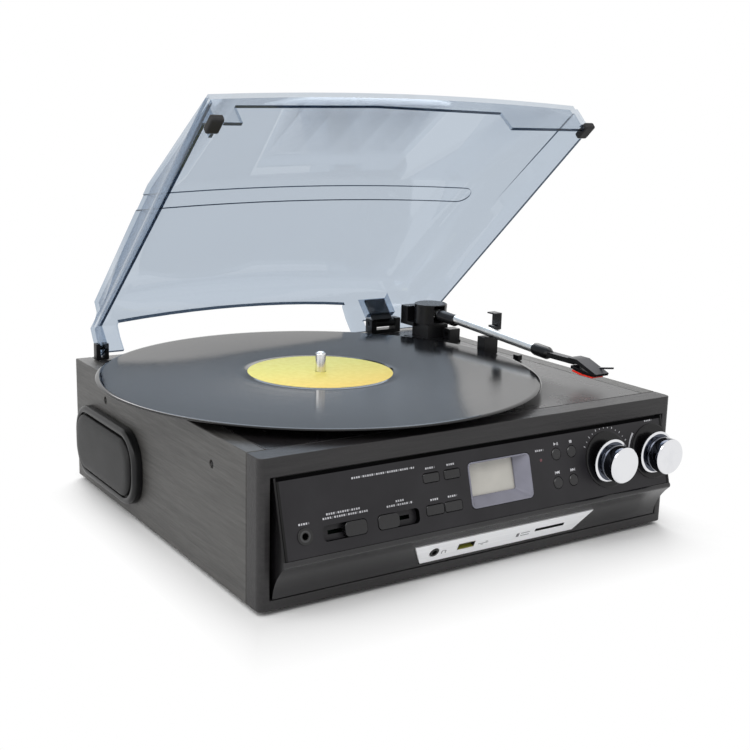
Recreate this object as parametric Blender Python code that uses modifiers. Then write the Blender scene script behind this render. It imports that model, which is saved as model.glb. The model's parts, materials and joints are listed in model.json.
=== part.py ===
"""Record player: a wooden cabinet with a front control panel, a belt-driven platter,
a tone arm and a clear lid that stands open. Metres, +Z up, front towards -Y."""

import math

import bmesh
import bpy
from mathutils import Matrix, Vector

# Clearances, walls and steps that many pieces share
GAP = 0.0003
OVERRUN = 0.010
FINE_EDGE = 0.0005
SOFT_EDGE = 0.0012
WELD = 0.00001

# Cabinet of boards
CAB_W = 0.313
CAB_D = 0.290
CAB_H = 0.0886
FOOT_H = 0.003
SIDE_T = 0.012
DECK_T = 0.009
BASE_T = 0.009
BACK_T = 0.009
FRAME_DEEP = 0.015
FRAME_ROUND = 0.004
FRAME_STILE = 0.007
FRAME_SILL = 0.006
FRAME_HEAD = 0.0116
FOOT_R = 0.009
FOOT_TAPER = 0.0008
FOOT_IN_X = 0.0215
FOOT_IN_Y = 0.025

# Side panels: loudspeakers, grilles and screws
SPEAKER_Y = 0.075
SPEAKER_H = 0.035
SPEAKER_R = 0.0255
SPEAKER_MOUTH_R = 0.0215
SPEAKER_RIM_T = 0.002
SPEAKER_DEEP = 0.022
SPEAKER_MAGNET_R = 0.015
SPEAKER_MAGNET_T = 0.008
SPEAKER_NECK_R = 0.012
SPEAKER_DUST_R = 0.006
SPEAKER_CONE_DEEP = 0.007
GRILLE_W = 0.112
GRILLE_H = 0.052
GRILLE_ROUND = 0.022
GRILLE_PROUD = 0.0085
GRILLE_RIM = 0.005
GRILLE_CROWN = 0.010
GRILLE_GROOVE = 0.0012
SCREW_R = 0.0026
SCREW_DEEP = 0.0025
SCREW_Y = 0.0855
SCREW_H = 0.070

# Back panel sockets: two line-out jacks and the power inlet
LINE_R = 0.0042
LINE_PIN_R = 0.0016
LINE_DEEP = 0.005
LINE_STEP = 0.014
LINE_X = -0.085
INLET_X = -0.045
INLET_R = 0.0032
INLET_PIN_R = 0.0009
SOCKET_H = 0.045

# Front fascia: the panel slopes out to a lip, and a cove runs back under it
FASCIA_SIDE = 0.0015
FASCIA_W = CAB_W - 2 * (FRAME_STILE + FASCIA_SIDE)
FASCIA_T = 0.0025
FASCIA_BACK = 0.012
SLOPE_TOP = 0.077
SLOPE_END = 0.0326
SLOPE_LEAN = math.atan(12 / 43)
LIP_R = 0.0021
LIP_H = 0.0304
LIP_OUT = 0.0114
COVE_TOP = 0.0285
COVE_FOOT = 0.0064
COVE_OUT = 0.0125
COVE_POWER = 1.8
COVE_STEPS = 7
WINDOW_EDGE = 0.005

# Control panel on the slope
PANEL_SIDE = 0.0015
PANEL_W = FASCIA_W - 2 * PANEL_SIDE
PANEL_T = 0.0023
PANEL_TOP = 0.0766
BOSS_R = 0.0185
BOSS_PROUD = 0.0012
BOSS_EDGE = 0.0012

# Knobs, on level axes
VOLUME_IN = 0.011
KNOB_STEP = 0.041
VOLUME_X = PANEL_W / 2 - VOLUME_IN
TUNING_X = VOLUME_X - KNOB_STEP
KNOB_H = 0.0545
KNOB_OUT = 0.023
KNOB_LONG = 0.0107
KNOB_FACE = CAB_D / 2 + KNOB_OUT
KNOB_BACK = KNOB_FACE - KNOB_LONG
KNOB_FLARE_R = 0.0155
KNOB_FLARE_T = 0.0022
KNOB_NECK_R = 0.0118
KNOB_FACE_R = 0.0128
KNOB_FACE_T = 0.0062
KNOB_EDGE = 0.0008
STEM_R = 0.003
STEM_BORE_R = 0.0036
POT_SIZE = 0.016

# Buttons
BUTTON_PROUD = 0.0006
BUTTON_EDGE = 0.0005
BUTTON_FLANGE = 0.0009
BUTTON_FLANGE_T = 0.0012
BUTTON_STEM_R = 0.0012
BUTTON_STOP = 0.0014
TOP_KEY_W = 0.0115
TOP_KEY_H = 0.0056
LOW_KEY_W = 0.0126
LOW_KEY_H = 0.006
KEY_ROUND = 0.0012
KEY_TOP_ROW = 0.0628
KEY_LOW_ROW = 0.0445
RECORD_KEY_X = -0.0452
MODE_KEY_X = -0.0300
DELETE_KEY_X = -0.0450
PROGRAM_KEY_X = -0.0315
ROUND_KEY_R = 0.00375
ROUND_TOP_ROW = 0.0634
ROUND_LOW_ROW = 0.0460
PLAY_KEY_X = 0.0520
STOP_KEY_X = 0.0649
PREVIOUS_KEY_X = 0.0510
NEXT_KEY_X = 0.0639

# Slide switches
SWITCH_W = 0.029
SWITCH_H = 0.009
SWITCH_ROUND = 0.0025
SWITCH_DEEP = 0.0038
SWITCH_TRAY_T = 0.0015
SWITCH_SLIT = 0.0018
SLIDER_W = 0.0145
SLIDER_PROUD = 0.0006
SLIDER_STEM_W = 0.004
SLIDER_STEM_DEEP = 0.006
FUNCTION_X = -0.107
BAND_X = -0.071
SWITCH_ROW = 0.0432

# Display
BEZEL_X = 0.006
BEZEL_ROW = 0.0538
BEZEL_W = 0.048
BEZEL_H = 0.028
BEZEL_ROUND = 0.003
BEZEL_DEEP = 0.0060
BEZEL_PROUD = 0.0003
BEZEL_RIM = 0.0010
VIEW_W = 0.037
VIEW_H = 0.0197
VIEW_X = 0.002
VIEW_ROW = 0.0565
VIEW_DEEP = 0.0048
DISPLAY_W = 0.044
DISPLAY_H = 0.026
DISPLAY_T = 0.003

# Main circuit board
BOARD_SIDE = 0.0065
BOARD_W = CAB_W - 2 * (SIDE_T + BOARD_SIDE)
BOARD_T = 0.0016
BOARD_IN = 0.0124
BOARD_TOP = 0.072
BOARD_FOOT = 0.038

# Aux jack
AUX_IN = 0.0135
AUX_X = -PANEL_W / 2 + AUX_IN
AUX_ROW = 0.0439
AUX_R = 0.0048
AUX_BORE_R = 0.0019
AUX_PROUD = 0.0006
AUX_DEEP = 0.010
AUX_BARREL_R = 0.0038

# Port strip on the cove, with its jack, socket and card slot
STRIP_TOP = 0.0222
STRIP_FOOT = 0.0088
STRIP_TOP_LEFT = -0.057
STRIP_TOP_RIGHT = 0.0845
STRIP_FOOT_LEFT = -0.049
STRIP_FOOT_RIGHT = 0.0724
STRIP_T = 0.002
STRIP_PROUD = 0.0006
PHONES_X = -0.0408
PHONES_R = 0.0032
PHONES_BORE_R = 0.0018
PHONES_DEEP = 0.012
USB_X = -0.0168
USB_W = 0.0124
USB_H = 0.0048
USB_T = 0.0004
USB_DEEP = 0.012
USB_TONGUE_W = 0.0104
USB_TONGUE_T = 0.0018
CARD_X = 0.050
CARD_W = 0.024
CARD_H = 0.0022

# Record, platter and drive
REC_IN = 0.1225
REC_X = -CAB_W / 2 + REC_IN
REC_Y = -0.001
REC_R = 0.151
REC_T = 0.0016
REC_RISE = 0.0074
MAT_R = 0.0975
MAT_T = 0.001
MAT_EDGE = 0.0003
PLATTER_R = 0.099
PLATTER_T = 0.003
PLATTER_WALL = 0.002
PLATTER_EDGE = 0.001
RIM_R = 0.0705
RIM_CLEAR = 0.0014
HUB_R = 0.012
SPINDLE_R = 0.00355
SPINDLE_CLEAR = 0.0003
SPINDLE_TOP = 0.110
SPINDLE_NOSE = 0.002
WELL_CLEAR = 0.005
WELL_R = PLATTER_R + WELL_CLEAR
WELL_T = 0.0015
WELL_FLANGE = 0.0035
WELL_FLANGE_T = 0.0012
WELL_DEEP = 0.014
WELL_BOSS_R = 0.010
WELL_BOSS_UP = 0.003
WELL_BOSS_DOWN = 0.006
BUSH_R = 0.006
BUSH_RIM_R = 0.0085
BUSH_RIM_T = 0.0012
BELT_T = 0.0007
BELT_H = 0.004
BELT_LIFT = 0.0016
PULLEY_R = 0.0045
PULLEY_RIM_R = 0.006
PULLEY_RIM_T = 0.001
PULLEY_REACH = 0.084
PULLEY_TURN = math.radians(60)
PULLEY_SHAFT_R = 0.001
MOTOR_R = 0.0175
MOTOR_H = 0.025
MOTOR_BOSS_R = 0.005
MOTOR_BORE_R = 0.0014

# Lid, measured from the deck while it is shut
LID_IN = 0.014
LID_W = CAB_W - 2 * LID_IN
LID_T = 0.0022
LID_STAGE = 0.0025
LID_CROWN = 0.0055
LID_FRONT_FOOT = Vector((-0.1245, 0.0010))
LID_FRONT_TOP = Vector((-0.1230, 0.0227))
LID_RISE = Vector((-0.0160, 0.0410))
LID_REAR_TOP = Vector((0.1236, 0.0419))
LID_STEP_FOOT = Vector((0.1253, 0.0336))
LID_LEDGE_REAR = Vector((0.1393, 0.0304))
LID_BACK_TOP = Vector((0.1411, 0.0195))
LID_BACK_FOOT = Vector((0.1411, 0.0050))
LID_RIM_REAR = Vector((0.1245, 0.0010))
CREASE_FRONT = 0.020
CREASE_REAR = 0.029
LID_SPAN = LID_BACK_FOOT.x - LID_FRONT_FOOT.x
LID_SLICES = 12
LID_OPEN = math.radians(41.6)
HINGE_Y = 0.134
HINGE_UP = 0.0086
GROOVE_FRONT = -0.006
GROOVE_REAR = 0.011
GROOVE_DEEP = 0.0010
GROOVE_IN = 0.0085
GROOVE_END = LID_W / 2 - GROOVE_IN
FRONT_NOTCH_IN = 0.017
FRONT_NOTCH_W = 0.1989
FRONT_NOTCH_LEFT = -LID_W / 2 + FRONT_NOTCH_IN
FRONT_NOTCH_RIGHT = FRONT_NOTCH_LEFT + FRONT_NOTCH_W
FRONT_NOTCH_LEAN = 0.0024
FRONT_NOTCH_LOW = 0.0146
FRONT_NOTCH_HIGH = 0.0175
SIDE_NOTCH_FRONT = -0.111
SIDE_NOTCH_REAR = 0.122
SIDE_NOTCH_LOW = 0.012
SIDE_NOTCH_HIGH = 0.020
BACK_NOTCH_IN = 0.0205
BACK_NOTCH_W = 0.199
BACK_NOTCH_LEFT = -LID_W / 2 + BACK_NOTCH_IN
BACK_NOTCH_RIGHT = BACK_NOTCH_LEFT + BACK_NOTCH_W
BACK_NOTCH_END = 0.1345
BACK_NOTCH_MID = 0.1275
BACK_NOTCH_STEPS = 10
BUFFER_PROUD = 0.0035
BUFFER_GRIP = 0.005
BUFFER_OUT_X = LID_W / 2 + BUFFER_PROUD
BUFFER_IN_X = LID_W / 2 - BUFFER_GRIP
BUFFER_FRONT = 0.127
BUFFER_REAR = 0.1145
BUFFER_H = 0.005

# Hinges
PIN_R = 0.0015
PIN_BORE_R = 0.0018
RIGHT_BASE_IN = 0.0205
RIGHT_BASE_W = 0.029
RIGHT_BASE_RIGHT = LID_W / 2 - RIGHT_BASE_IN
RIGHT_BASE_LEFT = RIGHT_BASE_RIGHT - RIGHT_BASE_W
RIGHT_BASE_REAR = 0.140
RIGHT_BASE_FRONT = 0.130
RIGHT_BASE_H = 0.0122
CHEEK_T = 0.005
HINGE_FLOOR = 0.003
KNUCKLE_R = 0.0036
LEAF_W = 0.019
LEAF_OUT = 0.001
LEAF_LEFT = RIGHT_BASE_LEFT - LEAF_OUT
LEAF_RIGHT = LEAF_LEFT + LEAF_W
LEAF_T = 0.0018
LEAF_Y = 0.1265
LEAF_TOP = 0.027
LEAF_ARM_T = 0.003
LEAF_ARM_LOW = 0.0076
POCKET_SIDE = 0.004
POCKET_LEFT = LEAF_LEFT - POCKET_SIDE
POCKET_RIGHT = LEAF_RIGHT + POCKET_SIDE
POCKET_DEEP = 0.006
POCKET_FOOT = 0.012
POCKET_TOP = 0.0315
HINGE_NOTCH_TOP = 0.0155
HINGE_NOTCH_SIDE = 0.001
LEFT_BASE_OUT = 0.0037
LEFT_BASE_IN = 0.006
LEFT_BASE_LEFT = LID_W / 2 + LEFT_BASE_OUT
LEFT_BASE_RIGHT = LID_W / 2 - LEFT_BASE_IN
LEFT_BASE_FRONT = 0.1295
LEFT_BASE_REAR = 0.1354
LEFT_BASE_H = 0.0121
FORK_CLEAR = 0.0005
LEG_NOTCH_TOP = 0.008

# Tone arm
ARM_X = 0.124
ARM_Y = 0.090
ARM_PIVOT_UP = 0.0234
ARM_SLOPE = math.radians(3.4)
ARM_R = 0.0035
ARM_TUBE_UP = 0.001
ARM_TUBE_TAIL = 0.009
ARM_BLOCK_W = 0.0096
ARM_BLOCK_L = 0.012
ARM_BLOCK_H = 0.0062
TRUNNION_R = 0.0015
TRUNNION_REACH = 0.0105
WEIGHT_W = 0.0092
WEIGHT_L = 0.0038
WEIGHT_H = 0.0066
PLINTH_LEFT = 0.108
PLINTH_RIGHT = 0.138
PLINTH_FRONT = 0.066
PLINTH_REAR = 0.104
PLINTH_T = 0.003
TOWER_W = 0.020
TOWER_L = 0.022
TOWER_UP = 0.0144
BRACKET_LEFT = 0.1265
BRACKET_RIGHT = 0.137
BRACKET_FRONT = 0.066
BRACKET_REAR = 0.0755
BRACKET_UP = 0.0125
BRACKET_EYE_R = 0.0022
TAIL_LEFT = 0.111
TAIL_RIGHT = 0.137
TAIL_FRONT = 0.1045
TAIL_REAR = 0.114
TAIL_UP = 0.0268
SHELF_T = 0.0030
TURRET_R = 0.0132
TURRET_FLOOR = 0.0013
TURRET_TOP_UP = 0.0274
TURRET_SLOT = 0.0104
CAP_R = 0.0134
CAP_T = 0.0035
CAP_EDGE = 0.0012
CAP_RELIEF = 0.0024
SHAFT_R = 0.004
SHAFT_BORE_R = 0.0043
SHAFT_DEEP = 0.009

# Head of the arm: places forward of the pivot and above the deck
FERRULE_FRONT = 0.150
FERRULE_R = 0.0046
HEAD_TUBE_IN = 0.0050
TUBE_SHORT = 0.0142
ARM_TUBE_LENGTH = FERRULE_FRONT - TUBE_SHORT
NECK_W = 0.0062
NECK_TOP = 0.0172
NECK_LOW = 0.0135
COVER_W = 0.012
COVER_BACK = 0.173
COVER_BACK_TOP = 0.0186
COVER_BEND = 0.182
COVER_BEND_TOP = 0.0186
COVER_FRONT = 0.201
COVER_FRONT_TOP = 0.0118
COVER_FRONT_LOW = 0.0100
COVER_T = 0.0028
LIFT_R = 0.0007
LIFT_OUT = 0.004
LIFT_START = 0.190
LIFT_END = 0.2075
LIFT_START_UP = 0.0132
LIFT_END_UP = 0.0165
CARTRIDGE_W = 0.0096
CARTRIDGE_BACK = 0.1750
CARTRIDGE_FRONT = 0.1975
CARTRIDGE_LOW_BACK = 0.0112
CARTRIDGE_LOW_FRONT = 0.0094
STYLUS_W = 0.0104
STYLUS_BACK = 0.1768
STYLUS_FRONT = 0.1972
STYLUS_LOW = 0.0082
STYLUS_TIP_FORWARD = 0.187
STYLUS_TIP_R = 0.0005
STYLUS_TIP_CLEAR = 0.0004

# Arm rest and its clip
REST_Y = 0.0155
REST_LEFT = 0.1185
REST_RIGHT = 0.1318
REST_L = 0.009
REST_FOOT_W = 0.0145
REST_FOOT_T = 0.0016
LUG_W = 0.0032
LUG_L = 0.005
CLIP_PIVOT_UP = 0.0224
CLIP_OFF = 0.002
CLIP_T = 0.0022
CLIP_REACH = 0.0117
CLIP_HOOK = 0.0050
CLIP_HOOK_T = 0.0011
CLIP_CHEEK_T = 0.0017
CLIP_PIN_R = 0.0011
CLIP_BORE_R = 0.0014

# Deck lever for the speed
LEVER_X = 0.137
LEVER_Y = -0.007
LEVER_W = 0.003
LEVER_L = 0.0034
LEVER_TRAVEL = 0.008
LEVER_KNOB_W = 0.0044
LEVER_KNOB_L = 0.006
LEVER_KNOB_UP = 0.0045
LEVER_KNOB_T = 0.0040
LEVER_DOWN = 0.012
LEVER_SLOT_SPARE = 0.0004
LEVER_PLATE = 0.002
LEVER_PLATE_OUT = 0.0025

# Heights and places that follow from the sizes above
BOX_LOW = FOOT_H
DECK = FOOT_H + CAB_H
DECK_LOW = DECK - DECK_T
FRONT_Y = -CAB_D / 2
BACK_Y = CAB_D / 2
FRAME_BACK = FRONT_Y + FRAME_DEEP
INSIDE_X = CAB_W / 2 - SIDE_T
SLOPE_LONG = (SLOPE_TOP - SLOPE_END) / math.cos(SLOPE_LEAN)
REC_TOP = DECK + REC_RISE
MAT_TOP = REC_TOP - REC_T - GAP
PLATTER_TOP = MAT_TOP - MAT_T - GAP
WELL_FLOOR = DECK - WELL_DEEP
WELL_BORE_R = BUSH_R + GAP
HINGE_Z = DECK + HINGE_UP
ARM_PIVOT_Z = DECK + ARM_PIVOT_UP
SPINDLE_BORE_R = SPINDLE_R + SPINDLE_CLEAR
PULLEY_X = REC_X + PULLEY_REACH * math.cos(PULLEY_TURN)
PULLEY_Y = REC_Y + PULLEY_REACH * math.sin(PULLEY_TURN)

# The way that a piece faces: its own X runs to its right, its own Y runs up, its own Z faces out
FACE_UP = Matrix.Identity(3)
FACE_FRONT = Matrix(((1, 0, 0), (0, 0, -1), (0, 1, 0)))
FACE_BACK = Matrix(((-1, 0, 0), (0, 0, 1), (0, 1, 0)))
FACE_RIGHT = Matrix(((0, 0, 1), (1, 0, 0), (0, 1, 0)))
FACE_LEFT = Matrix(((0, 0, -1), (-1, 0, 0), (0, 1, 0)))


def clear_scene():
    for obj in list(bpy.data.objects):
        bpy.data.objects.remove(obj, do_unlink=True)


def new_collection(name):
    made = bpy.data.collections.new(name)
    bpy.context.scene.collection.children.link(made)
    return made


def finish(name, colour, roughness, metallic=0.0, alpha=1.0):
    made = bpy.data.materials.new(name)
    made.use_nodes = True
    shader = made.node_tree.nodes["Principled BSDF"]
    shader.inputs["Base Color"].default_value = (*colour, 1.0)
    shader.inputs["Roughness"].default_value = roughness
    shader.inputs["Metallic"].default_value = metallic
    shader.inputs["Alpha"].default_value = alpha
    return made


def place(name, mesh, parent, location, face, coat):
    """Puts a mesh in the scene as a named piece, turned to face and moved to location."""
    obj = bpy.data.objects.new(name, mesh)
    PARTS.objects.link(obj)
    obj.location = location
    obj.rotation_euler = face.to_euler()
    obj.parent = parent
    if coat:
        mesh.materials.append(coat)
    return obj


def empty(name, parent, location, turn=0.0):
    """A frame for other pieces, turned about its own X axis."""
    obj = bpy.data.objects.new(name, None)
    PARTS.objects.link(obj)
    obj.location = location
    obj.rotation_euler = (turn, 0, 0)
    obj.parent = parent
    return obj


def smooth(mesh, angle=math.radians(35)):
    mesh.shade_smooth()
    mesh.set_sharp_from_angle(angle=angle)


def block(name, parent, low, high, coat=None, edge=0.0):
    """A box between two corners, its edges rounded."""
    low = Vector(low)
    high = Vector(high)
    bm = bmesh.new()
    bmesh.ops.create_cube(bm, size=1)
    bmesh.ops.scale(bm, vec=high - low, verts=bm.verts)
    mesh = bpy.data.meshes.new(name)
    bm.to_mesh(mesh)
    bm.free()
    obj = place(name, mesh, parent, (low + high) / 2, FACE_UP, coat)
    if edge:
        rounding = obj.modifiers.new("edges", "BEVEL")
        rounding.width = edge
        rounding.segments = 2
    return obj


def prism(name, parent, outline, low, high, coat=None, face=FACE_UP):
    """A flat outline made as thick as from low to high along the way that it faces."""
    curve = bpy.data.curves.new(name, "CURVE")
    curve.dimensions = "2D"
    curve.fill_mode = "BOTH"
    curve.extrude = (high - low) / 2
    spline = curve.splines.new("POLY")
    spline.points.add(len(outline) - 1)
    for point, place_2d in zip(spline.points, outline):
        point.co = (*place_2d, 0, 1)
    spline.use_cyclic_u = True
    drawn = bpy.data.objects.new(name + "_outline", curve)
    PARTS.objects.link(drawn)
    graph = bpy.context.evaluated_depsgraph_get()
    mesh = bpy.data.meshes.new_from_object(drawn.evaluated_get(graph))
    bpy.data.objects.remove(drawn, do_unlink=True)
    bm = bmesh.new()
    bm.from_mesh(mesh)
    bmesh.ops.remove_doubles(bm, verts=bm.verts, dist=WELD)
    bmesh.ops.recalc_face_normals(bm, faces=bm.faces)
    bm.to_mesh(mesh)
    bm.free()
    smooth(mesh)
    middle = face @ Vector((0, 0, (low + high) / 2))
    return place(name, mesh, parent, middle, face, coat)


def turned(name, parent, profile, location, coat=None, face=FACE_UP, steps=32, closed=False):
    """A profile of radius and height, top first, turned about the way that it faces."""
    bm = bmesh.new()
    verts = [bm.verts.new((radius, 0, height)) for radius, height in profile]
    for upper, lower in zip(verts, verts[1:]):
        bm.edges.new((upper, lower))
    if closed:
        bm.edges.new((verts[-1], verts[0]))
    mesh = bpy.data.meshes.new(name)
    bm.to_mesh(mesh)
    bm.free()
    obj = place(name, mesh, parent, location, face, coat)
    spin = obj.modifiers.new("turn", "SCREW")
    spin.steps = steps
    spin.render_steps = steps
    spin.use_merge_vertices = True
    spin.merge_threshold = WELD
    return obj


def loft(name, parent, rings, location, coat=None, face=FACE_UP):
    """A closed solid through rings that all have as many points."""
    bm = bmesh.new()
    loops = [[bm.verts.new(point) for point in ring] for ring in rings]
    for lower, upper in zip(loops, loops[1:]):
        for here in range(len(lower)):
            beside = (here + 1) % len(lower)
            bm.faces.new((lower[here], lower[beside], upper[beside], upper[here]))
    bm.faces.new(loops[0][::-1])
    bm.faces.new(loops[-1])
    bmesh.ops.remove_doubles(bm, verts=bm.verts, dist=WELD)
    bmesh.ops.recalc_face_normals(bm, faces=bm.faces)
    mesh = bpy.data.meshes.new(name)
    bm.to_mesh(mesh)
    bm.free()
    smooth(mesh)
    return place(name, mesh, parent, location, face, coat)


def rod(name, parent, radius, low, high, location, coat=None, face=FACE_UP, steps=16):
    """A plain round rod along the way that it faces."""
    profile = [(0, high), (radius, high), (radius, low), (0, low)]
    return turned(name, parent, profile, location, coat, face, steps)


def boolean(target, operation, tools):
    for tool in tools:
        PARTS.objects.unlink(tool)
        CUTTERS.objects.link(tool)
        tool.hide_render = True
        tool.display_type = "WIRE"
        step = target.modifiers.new(operation.lower(), "BOOLEAN")
        step.operation = operation
        step.object = tool


def cut(target, *tools):
    boolean(target, "DIFFERENCE", tools)
    return target


def join(target, *tools):
    boolean(target, "UNION", tools)
    return target


def rounded(width, height, radius, steps=3, centre=(0, 0)):
    """The outline of a rectangle with round corners, its points running anticlockwise."""
    points = []
    for corner in range(4):
        side = 1 if corner in (0, 3) else -1
        above = 1 if corner in (0, 1) else -1
        for step in range(steps + 1):
            angle = (corner + step / steps) * math.pi / 2
            across = centre[0] + side * (width / 2 - radius) + radius * math.cos(angle)
            up = centre[1] + above * (height / 2 - radius) + radius * math.sin(angle)
            points.append((across, up))
    return points


def rectangle(left, right, low, high):
    return [(left, low), (right, low), (right, high), (left, high)]


def ring(outline, depth):
    return [(across, up, depth) for across, up in outline]


def arc(centre, radius, start, end, steps):
    """Points round part of a circle, from one angle to another in degrees."""
    points = []
    for step in range(steps + 1):
        angle = math.radians(start + (end - start) * step / steps)
        points.append((centre[0] + radius * math.cos(angle), centre[1] + radius * math.sin(angle)))
    return points


def down_slope(height):
    """Place along the slope of a height above the cabinet's underside."""
    return -(SLOPE_TOP - height) / math.cos(SLOPE_LEAN)


def build_cabinet(root):
    wood = finish("black_woodgrain", (0.022, 0.020, 0.021), 0.42)
    rubber = finish("foot_rubber", (0.02, 0.02, 0.02), 0.8)
    speaker_z = BOX_LOW + SPEAKER_H
    for name, side, face in (("left", -1, FACE_LEFT), ("right", 1, FACE_RIGHT)):
        inner = side * INSIDE_X
        outer = side * CAB_W / 2
        panel = block(
            name + "_side_panel",
            root,
            (min(inner, outer), FRAME_BACK + GAP, BOX_LOW),
            (max(inner, outer), BACK_Y, DECK),
            wood,
            FINE_EDGE,
        )
        mouth = rod(
            name + "_speaker_mouth",
            root,
            SPEAKER_MOUTH_R,
            -SIDE_T - OVERRUN,
            OVERRUN,
            (outer, SPEAKER_Y, speaker_z),
            face=face,
            steps=24,
        )
        screws = [
            rod(
                f"{name}_screw_hole_{number}",
                root,
                SCREW_R,
                -SCREW_DEEP,
                OVERRUN,
                (outer, reach, BOX_LOW + SCREW_H),
                face=face,
                steps=12,
            )
            for number, reach in enumerate((-SCREW_Y, SCREW_Y))
        ]
        cut(panel, mouth, *screws)
    block(
        "base_board",
        root,
        (-INSIDE_X + GAP, FRAME_BACK + GAP, BOX_LOW),
        (INSIDE_X - GAP, BACK_Y, BOX_LOW + BASE_T),
        wood,
    )
    build_deck(root, wood)
    build_back_panel(root, wood)
    build_front_frame(root, wood)
    for front, fore in (("front", -1), ("rear", 1)):
        for name, side in (("left", -1), ("right", 1)):
            turned(
                f"{front}_{name}_foot",
                root,
                [
                    (0, FOOT_H - GAP),
                    (FOOT_R, FOOT_H - GAP),
                    (FOOT_R, FOOT_TAPER),
                    (FOOT_R - FOOT_TAPER, 0),
                    (0, 0),
                ],
                (side * (CAB_W / 2 - FOOT_IN_X), fore * (CAB_D / 2 - FOOT_IN_Y), 0),
                rubber,
                steps=16,
            )


def build_deck(root, wood):
    deck = block(
        "deck_panel",
        root,
        (-INSIDE_X + GAP, FRAME_BACK + GAP, DECK_LOW),
        (INSIDE_X - GAP, BACK_Y, DECK),
        wood,
    )
    well_hole = rod(
        "well_hole", root, WELL_R + GAP, -DECK_T - OVERRUN, OVERRUN, (REC_X, REC_Y, DECK), steps=40
    )
    slot_low = LEVER_X - LEVER_TRAVEL - LEVER_W / 2 - LEVER_SLOT_SPARE
    slot_high = LEVER_X + LEVER_W / 2 + LEVER_SLOT_SPARE
    slot_half = LEVER_L / 2 + LEVER_SLOT_SPARE
    lever_slot = block(
        "lever_slot",
        root,
        (slot_low, LEVER_Y - slot_half, DECK_LOW - OVERRUN),
        (slot_high, LEVER_Y + slot_half, DECK + OVERRUN),
    )
    cut(deck, well_hole, lever_slot)


def build_back_panel(root, wood):
    panel = block(
        "back_panel",
        root,
        (-INSIDE_X + GAP, BACK_Y - BACK_T, BOX_LOW + BASE_T + GAP),
        (INSIDE_X - GAP, BACK_Y, DECK_LOW - GAP),
        wood,
    )
    places = (
        ("line_left", LINE_X, LINE_R, LINE_PIN_R),
        ("line_right", LINE_X + LINE_STEP, LINE_R, LINE_PIN_R),
        ("power_inlet", INLET_X, INLET_R, INLET_PIN_R),
    )
    for name, across, radius, pin in places:
        profile = [(pin, OVERRUN), (radius, OVERRUN), (radius, -LINE_DEEP), (pin, -LINE_DEEP)]
        spot = (across, BACK_Y, BOX_LOW + SOCKET_H)
        cut(panel, turned(name, root, profile, spot, face=FACE_BACK, steps=16, closed=True))


def build_front_frame(root, wood):
    half = CAB_W / 2
    corner = (half - FRAME_ROUND, FRONT_Y + FRAME_ROUND)
    right_corner = arc(corner, FRAME_ROUND, 270, 360, 4)
    left_corner = [(-across, up) for across, up in reversed(right_corner)]
    outline = [(-half, FRAME_BACK), *left_corner, *right_corner, (half, FRAME_BACK)]
    frame = prism("front_frame", root, outline, BOX_LOW, DECK, wood)
    opening = block(
        "front_opening",
        root,
        (-half + FRAME_STILE, FRONT_Y - OVERRUN, BOX_LOW + FRAME_SILL),
        (half - FRAME_STILE, FRAME_BACK + OVERRUN, DECK - FRAME_HEAD),
    )
    cut(frame, opening)


def build_sides(root):
    cloth = finish("grille_cloth", (0.03, 0.032, 0.036), 0.7)
    cone = finish("speaker_cone", (0.06, 0.06, 0.06), 0.6)
    spot_z = BOX_LOW + SPEAKER_H
    for name, side, face in (("left", -1, FACE_LEFT), ("right", 1, FACE_RIGHT)):
        rim = GRILLE_RIM
        stages = (
            (0, 0),
            (0, GRILLE_PROUD - GRILLE_RIM / 2),
            (GRILLE_RIM / 8, GRILLE_PROUD - GRILLE_RIM / 5),
            (GRILLE_RIM / 3, GRILLE_PROUD),
            (rim, GRILLE_PROUD),
            (rim + GRILLE_GROOVE / 3, GRILLE_PROUD - GRILLE_GROOVE),
            (rim + GRILLE_GROOVE, GRILLE_PROUD - GRILLE_GROOVE),
            (GRILLE_CROWN, GRILLE_PROUD - GRILLE_GROOVE / 2),
            (GRILLE_CROWN + rim, GRILLE_PROUD),
        )
        rings = [
            ring(
                rounded(
                    GRILLE_W - 2 * inset, GRILLE_H - 2 * inset, GRILLE_ROUND - inset, steps=5
                ),
                depth,
            )
            for inset, depth in stages
        ]
        loft(
            name + "_grille",
            root,
            rings,
            (side * (CAB_W / 2 + GAP), SPEAKER_Y, spot_z),
            cloth,
            face,
        )
        turned(
            name + "_speaker",
            root,
            [
                (0, -SPEAKER_CONE_DEEP + SPEAKER_RIM_T),
                (SPEAKER_DUST_R, -SPEAKER_CONE_DEEP),
                (SPEAKER_MOUTH_R, -SPEAKER_RIM_T / 2),
                (SPEAKER_MOUTH_R, 0),
                (SPEAKER_R, 0),
                (SPEAKER_R, -SPEAKER_RIM_T),
                (SPEAKER_MOUTH_R, -SPEAKER_RIM_T),
                (SPEAKER_NECK_R, SPEAKER_MAGNET_T - SPEAKER_DEEP),
                (SPEAKER_MAGNET_R, SPEAKER_MAGNET_T - SPEAKER_DEEP),
                (SPEAKER_MAGNET_R, -SPEAKER_DEEP),
                (0, -SPEAKER_DEEP),
            ],
            (side * (INSIDE_X - GAP), SPEAKER_Y, spot_z),
            cone,
            face,
            steps=20,
        )


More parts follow.
